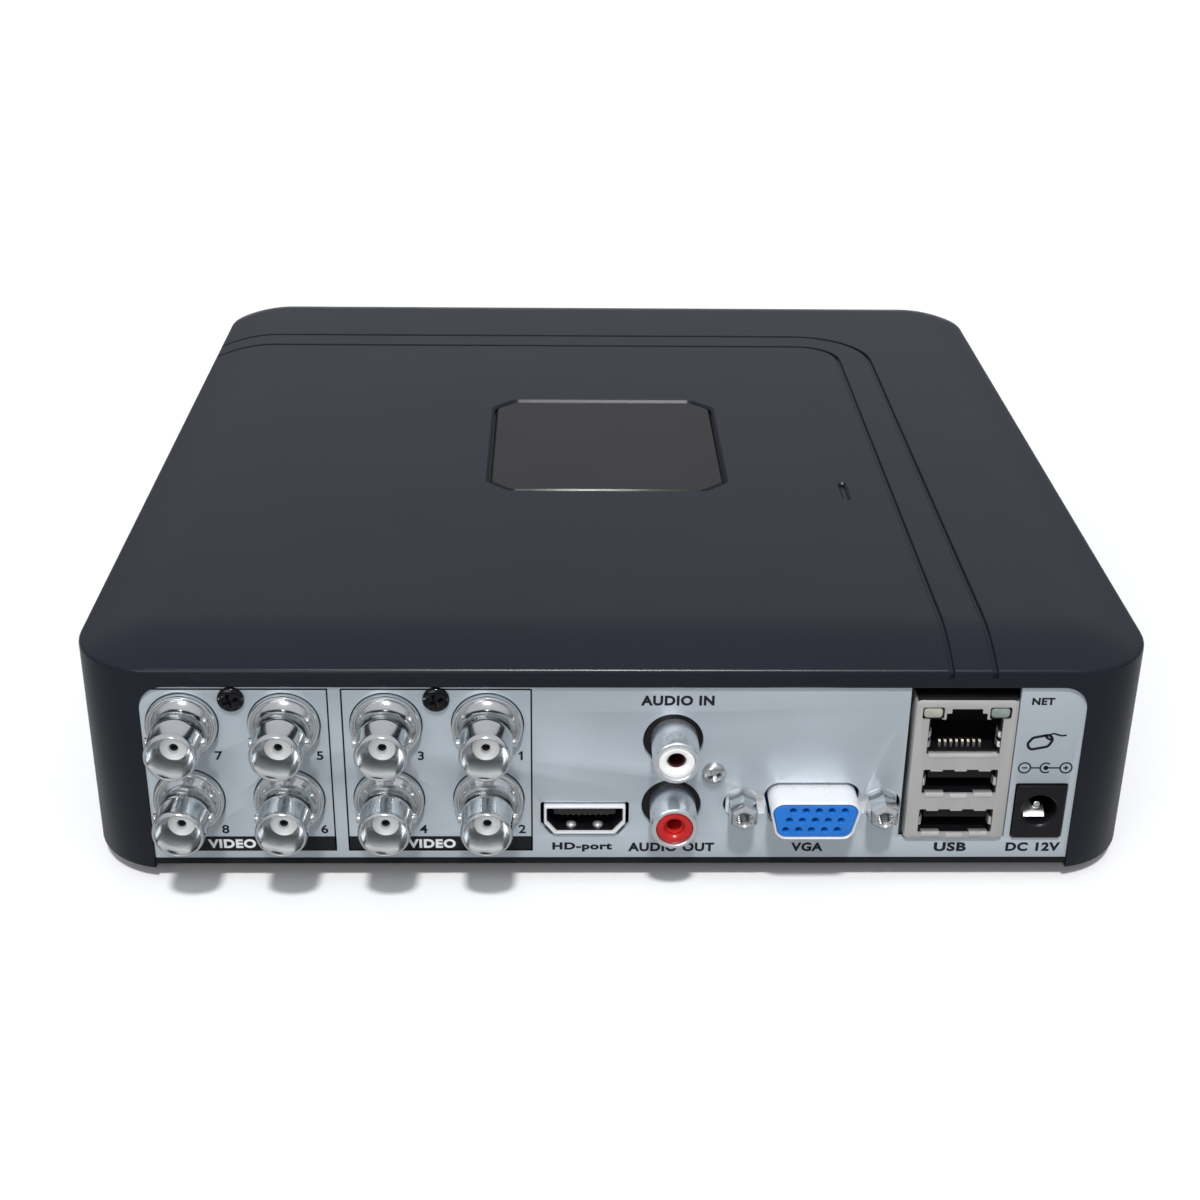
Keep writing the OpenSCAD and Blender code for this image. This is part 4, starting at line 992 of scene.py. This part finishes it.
def lettering(words, x, z, height, width=None, weight=0.044):
    """Raised letters of a given size, centred on x and z. Without a width they keep their own."""
    curve = bpy.data.curves.new("lettering", "FONT")
    curve.body = words
    curve.align_x = "CENTER"
    curve.extrude = 0.01
    curve.offset = weight
    curve.resolution_u = 4
    curve.space_character = 1.1
    written = bpy.data.objects.new("lettering", curve)
    bpy.context.scene.collection.objects.link(written)
    bpy.context.view_layer.update()
    mesh = bpy.data.meshes.new_from_object(written.evaluated_get(bpy.context.evaluated_depsgraph_get()))
    bpy.data.objects.remove(written)
    low = Vector([min(v.co[i] for v in mesh.vertices) for i in range(3)])
    size = Vector([max(v.co[i] for v in mesh.vertices) for i in range(3)]) - low
    width = width or size.x * height / size.y * 1.12
    points = [Vector(((v.co.x - low.x) / size.x * width - width / 2,
                      (v.co.y - low.y) / size.y * height - height / 2,
                      (v.co.z - low.z) / size.z * INK)) for v in mesh.vertices]
    shape = on_panel((points, [list(p.vertices) for p in mesh.polygons]), x, z)
    bpy.data.meshes.remove(mesh)
    return shape


def bar(x0, z0, x1, z1):
    """Printed rectangle."""
    return on_panel(slab((x0, z0, 0), (x1, z1, INK), 0.0, 0.01), 0, 0)


def stroke(points, width):
    """Printed line through (x, z) points."""
    path = [Vector((x, z, INK / 2)) for x, z in points]
    half = width / 2
    section = [(-half, -INK / 2), (half, -INK / 2), (half, INK / 2), (-half, INK / 2)]
    return on_panel(sweep(path, [Vector((0, 0, 1))] * len(path), section), 0, 0)


def frame_line(low, high):
    """Printed outline of a group of jacks."""
    width = 0.3
    sections = [(0, 0), (0, INK), (-width, INK), (-width, 0)]
    return on_panel(stacked(round_rect(low, high, 0.3, 2), sections, closed=True), 0, 0)


def mouse_sign(x, z):
    """Small outline of a computer mouse with its lead, for the sockets that a mouse goes into."""
    tilt = radians(12)
    outline = rounded([(-2.1, -1.25), (1.2, -1.25), (2.2, -0.1), (1.9, 1.1), (-1.2, 1.1), (-2.3, 0.1)],
                      0.8, 4)
    body = [(x + u * cos(tilt) - v * sin(tilt), z + u * sin(tilt) + v * cos(tilt))
            for u, v in outline + outline[:1]]
    crease = shifted([(0.7, 1.45), (1.15, 0.75), (1.7, 0.45), (2.0, 0.55)], x, z)
    tail = shifted([(1.5, 1.45), (2.2, 1.7), (2.9, 1.45), (3.6, 1.25), (4.5, 1.35)], x, z)
    return [stroke(body, 0.5), stroke(crease, 0.45), stroke(tail, 0.32)]


def polarity_sign(x, z):
    """Centre-positive sign: minus, a cup round a dot, and plus."""
    line = 0.27
    shapes = []
    for offset in (-3.8, 3.6):
        shapes.append(stroke(shifted(arc((0, 0), 1.05, 0, 360, 24), x + offset, z), line))
    shapes.append(stroke(shifted(arc((0, 0), 1.0, 50, 310, 18), x, z), line))
    shapes.append(on_panel(lathe([(0, 0), (0.45, 0), (0.45, INK), (0, INK)], 20), x, z))
    for start, end in ((-2.75, -1.0), (0, 2.55), (-4.25, -3.35), (3.15, 4.05)):
        shapes.append(stroke([(x + start, z), (x + end, z)], line))
    shapes.append(stroke([(x + 3.6, z - 0.45), (x + 3.6, z + 0.45)], line))
    return shapes


def make_print():
    """Words, numbers and signs on the rear panel, and the boxes round the two groups of video jacks."""
    line_z = EDGE_Z - 36.6
    dark, white = [], []
    for n in range(1, 9):
        spot = middle(f"video_jack_{n}")
        dark.append(lettering(str(n), spot.x + 5.9, spot.z - 6.3, 1.8, weight=0.02))
    one = middle("video_jack_1")
    dark.append(stroke([(one.x + 5.42, one.z - 6.0), (one.x + 5.78, one.z - 5.62)], 0.24))
    bar_low, bar_high = EDGE_Z - 37.35, EDGE_Z - 34.25
    box_top = EDGE_Z - 3.75
    outer, inner = (-81.6, -49.8), (-47.7, -14.5)
    dark += [bar(outer[0], box_top - 0.3, outer[1], box_top),
             bar(outer[1] - 0.3, bar_low + 0.5, outer[1] - 0.02, box_top - 0.1)]
    dark.append(frame_line((inner[0], bar_low), (inner[1], box_top)))
    for (left, right), word_x in ((outer, -68.6), (inner, -32.7)):
        dark.append(bar(left, bar_low, right, bar_high))
        white.append(moved(lettering("VIDEO", word_x, (bar_low + bar_high) / 2, 1.9, 8.6), (0, -INK, 0)))
    hd, audio, vga = middle("hd_port_tongue"), middle("audio_in_sleeve"), middle("vga_shell")
    can, inlet = middle("net_usb_can"), middle("dc_jack_body")
    labels = [("AUDIO IN", audio.x + 0.3, EDGE_Z - 6.1, 2.0, 12.8),
              ("AUDIO OUT", audio.x, line_z, 1.9, 15.6),
              ("HD-port", hd.x - 0.4, line_z, 2.0, 10.8), ("VGA", vga.x - 0.3, line_z, 1.9, 5.8),
              ("USB", can.x - 0.2, line_z, 1.95, 5.9), ("DC 12V", inlet.x - 0.2, line_z, 1.9, 9.9),
              ("NET", inlet.x - 1.8, EDGE_Z - 6.2, 1.45, 4.0)]
    dark += [lettering(*label) for label in labels]
    dark += mouse_sign(inlet.x - 1.4, EDGE_Z - 14.4)
    dark += polarity_sign(inlet.x + 0.2, EDGE_Z - 19.8)
    piece("panel_print_dark", joined(*dark), "ink_dark")
    piece("panel_print_white", joined(*white), "ink_white")


# ---- stage

def make_stage():
    """Pale floor, the backdrop and soft lights."""
    bpy.ops.mesh.primitive_plane_add(size=8)
    floor = bpy.context.object
    floor.name = "floor"
    paper = add_look("floor_paper", (0.86, 0.86, 0.86), 0.7, vary=0.01, grain=4, relief=0.01, patch=200)
    floor.data.materials.append(paper)
    dim_bounce(paper, 0.35)

    bpy.context.scene.world = studio_world()
    soft_light("front", (-0.6, -1.5, 0.75), (0.9, 0.7), 6.5)
    sun = bpy.data.lights.new("sun", "SUN")
    sun.energy = 2.5
    sun.angle = radians(6)
    overhead = bpy.data.objects.new("overhead", sun)
    bpy.context.scene.collection.objects.link(overhead)
    overhead.rotation_euler = (radians(28), 0, 0)


def dim_bounce(material, share):
    """The recorder mirrors a darker table: the bounced light is a share of what the camera sees."""
    tree = material.node_tree
    shader = tree.nodes["Principled BSDF"]
    source = shader.inputs["Base Color"].links[0].from_socket
    rays = tree.nodes.new("ShaderNodeLightPath")
    factor = tree.nodes.new("ShaderNodeMapRange")
    preset(factor, To_Min=share)
    dim = tree.nodes.new("ShaderNodeVectorMath")
    dim.operation = "SCALE"
    tree.links.new(rays.outputs["Is Camera Ray"], factor.inputs["Value"])
    tree.links.new(source, dim.inputs["Vector"])
    tree.links.new(factor.outputs["Result"], dim.inputs["Scale"])
    tree.links.new(dim.outputs["Vector"], shader.inputs["Base Color"])


def studio_world():
    """White backdrop for the camera. The light on the recorder darkens towards the horizon."""
    world = bpy.data.worlds.new("studio")
    world.use_nodes = True
    tree = world.node_tree
    place = tree.nodes.new("ShaderNodeTexCoord")
    split = tree.nodes.new("ShaderNodeSeparateXYZ")
    ramp = tree.nodes.new("ShaderNodeValToRGB")
    rays = tree.nodes.new("ShaderNodeLightPath")
    mix = tree.nodes.new("ShaderNodeMix")
    mix.data_type = "RGBA"
    elements = ramp.color_ramp.elements
    elements[0].position, elements[0].color = 0.05, (0.13, 0.14, 0.15, 1)
    elements[1].position, elements[1].color = 1.0, (0.62, 0.63, 0.65, 1)
    middle_stop = elements.new(0.45)
    middle_stop.color = (0.52, 0.53, 0.57, 1)
    preset(mix, B=(1.0, 1.0, 1.0, 1))
    tree.links.new(place.outputs["Generated"], split.inputs["Vector"])
    tree.links.new(split.outputs["Z"], ramp.inputs["Fac"])
    tree.links.new(ramp.outputs["Color"], mix.inputs["A"])
    tree.links.new(rays.outputs["Is Camera Ray"], mix.inputs["Factor"])
    tree.links.new(mix.outputs["Result"], tree.nodes["Background"].inputs["Color"])
    return world


def soft_light(name, place, size, power):
    data = bpy.data.lights.new(name, "AREA")
    data.shape = "RECTANGLE"
    data.size, data.size_y = size
    data.energy = power
    light = bpy.data.objects.new(name, data)
    bpy.context.scene.collection.objects.link(light)
    light.location = place
    light.rotation_euler = (Vector((0, 0, 0.02)) - light.location).to_track_quat("-Z", "Y").to_euler()


def make_camera():
    """Camera behind the recorder and above it, looking down on the rear panel."""
    data = bpy.data.cameras.new("camera")
    data.sensor_width = 36
    data.lens = 55.8
    data.clip_start = 0.01
    camera = bpy.data.objects.new("camera", data)
    bpy.context.scene.collection.objects.link(camera)
    yaw, pitch, roll = radians(1.38), radians(26.78), radians(0.74)
    forward = Vector((sin(yaw) * cos(pitch), cos(yaw) * cos(pitch), -sin(pitch)))
    level = Vector((cos(yaw), -sin(yaw), 0))
    upright = level.cross(forward)
    right = level * cos(roll) + upright * sin(roll)
    up = upright * cos(roll) - level * sin(roll)
    turn = Matrix((right, up, -forward)).transposed()
    place = Vector((-9.7, REAR_Y - 279.6, EDGE_Z + 154.9)) * MM
    camera.matrix_world = Matrix.Translation(place) @ turn.to_4x4()
    bpy.context.scene.camera = camera
    bpy.context.scene.view_settings.view_transform = "Standard"


make_camera()
make_stage()
finish_cad_nodes()
make_cover()
make_panel()
make_badge()
make_window()
make_feet()
make_screws()
make_video_jacks()
make_audio_jacks()
make_hd_port()
make_vga()
make_net_usb()
make_power_inlet()
make_print()
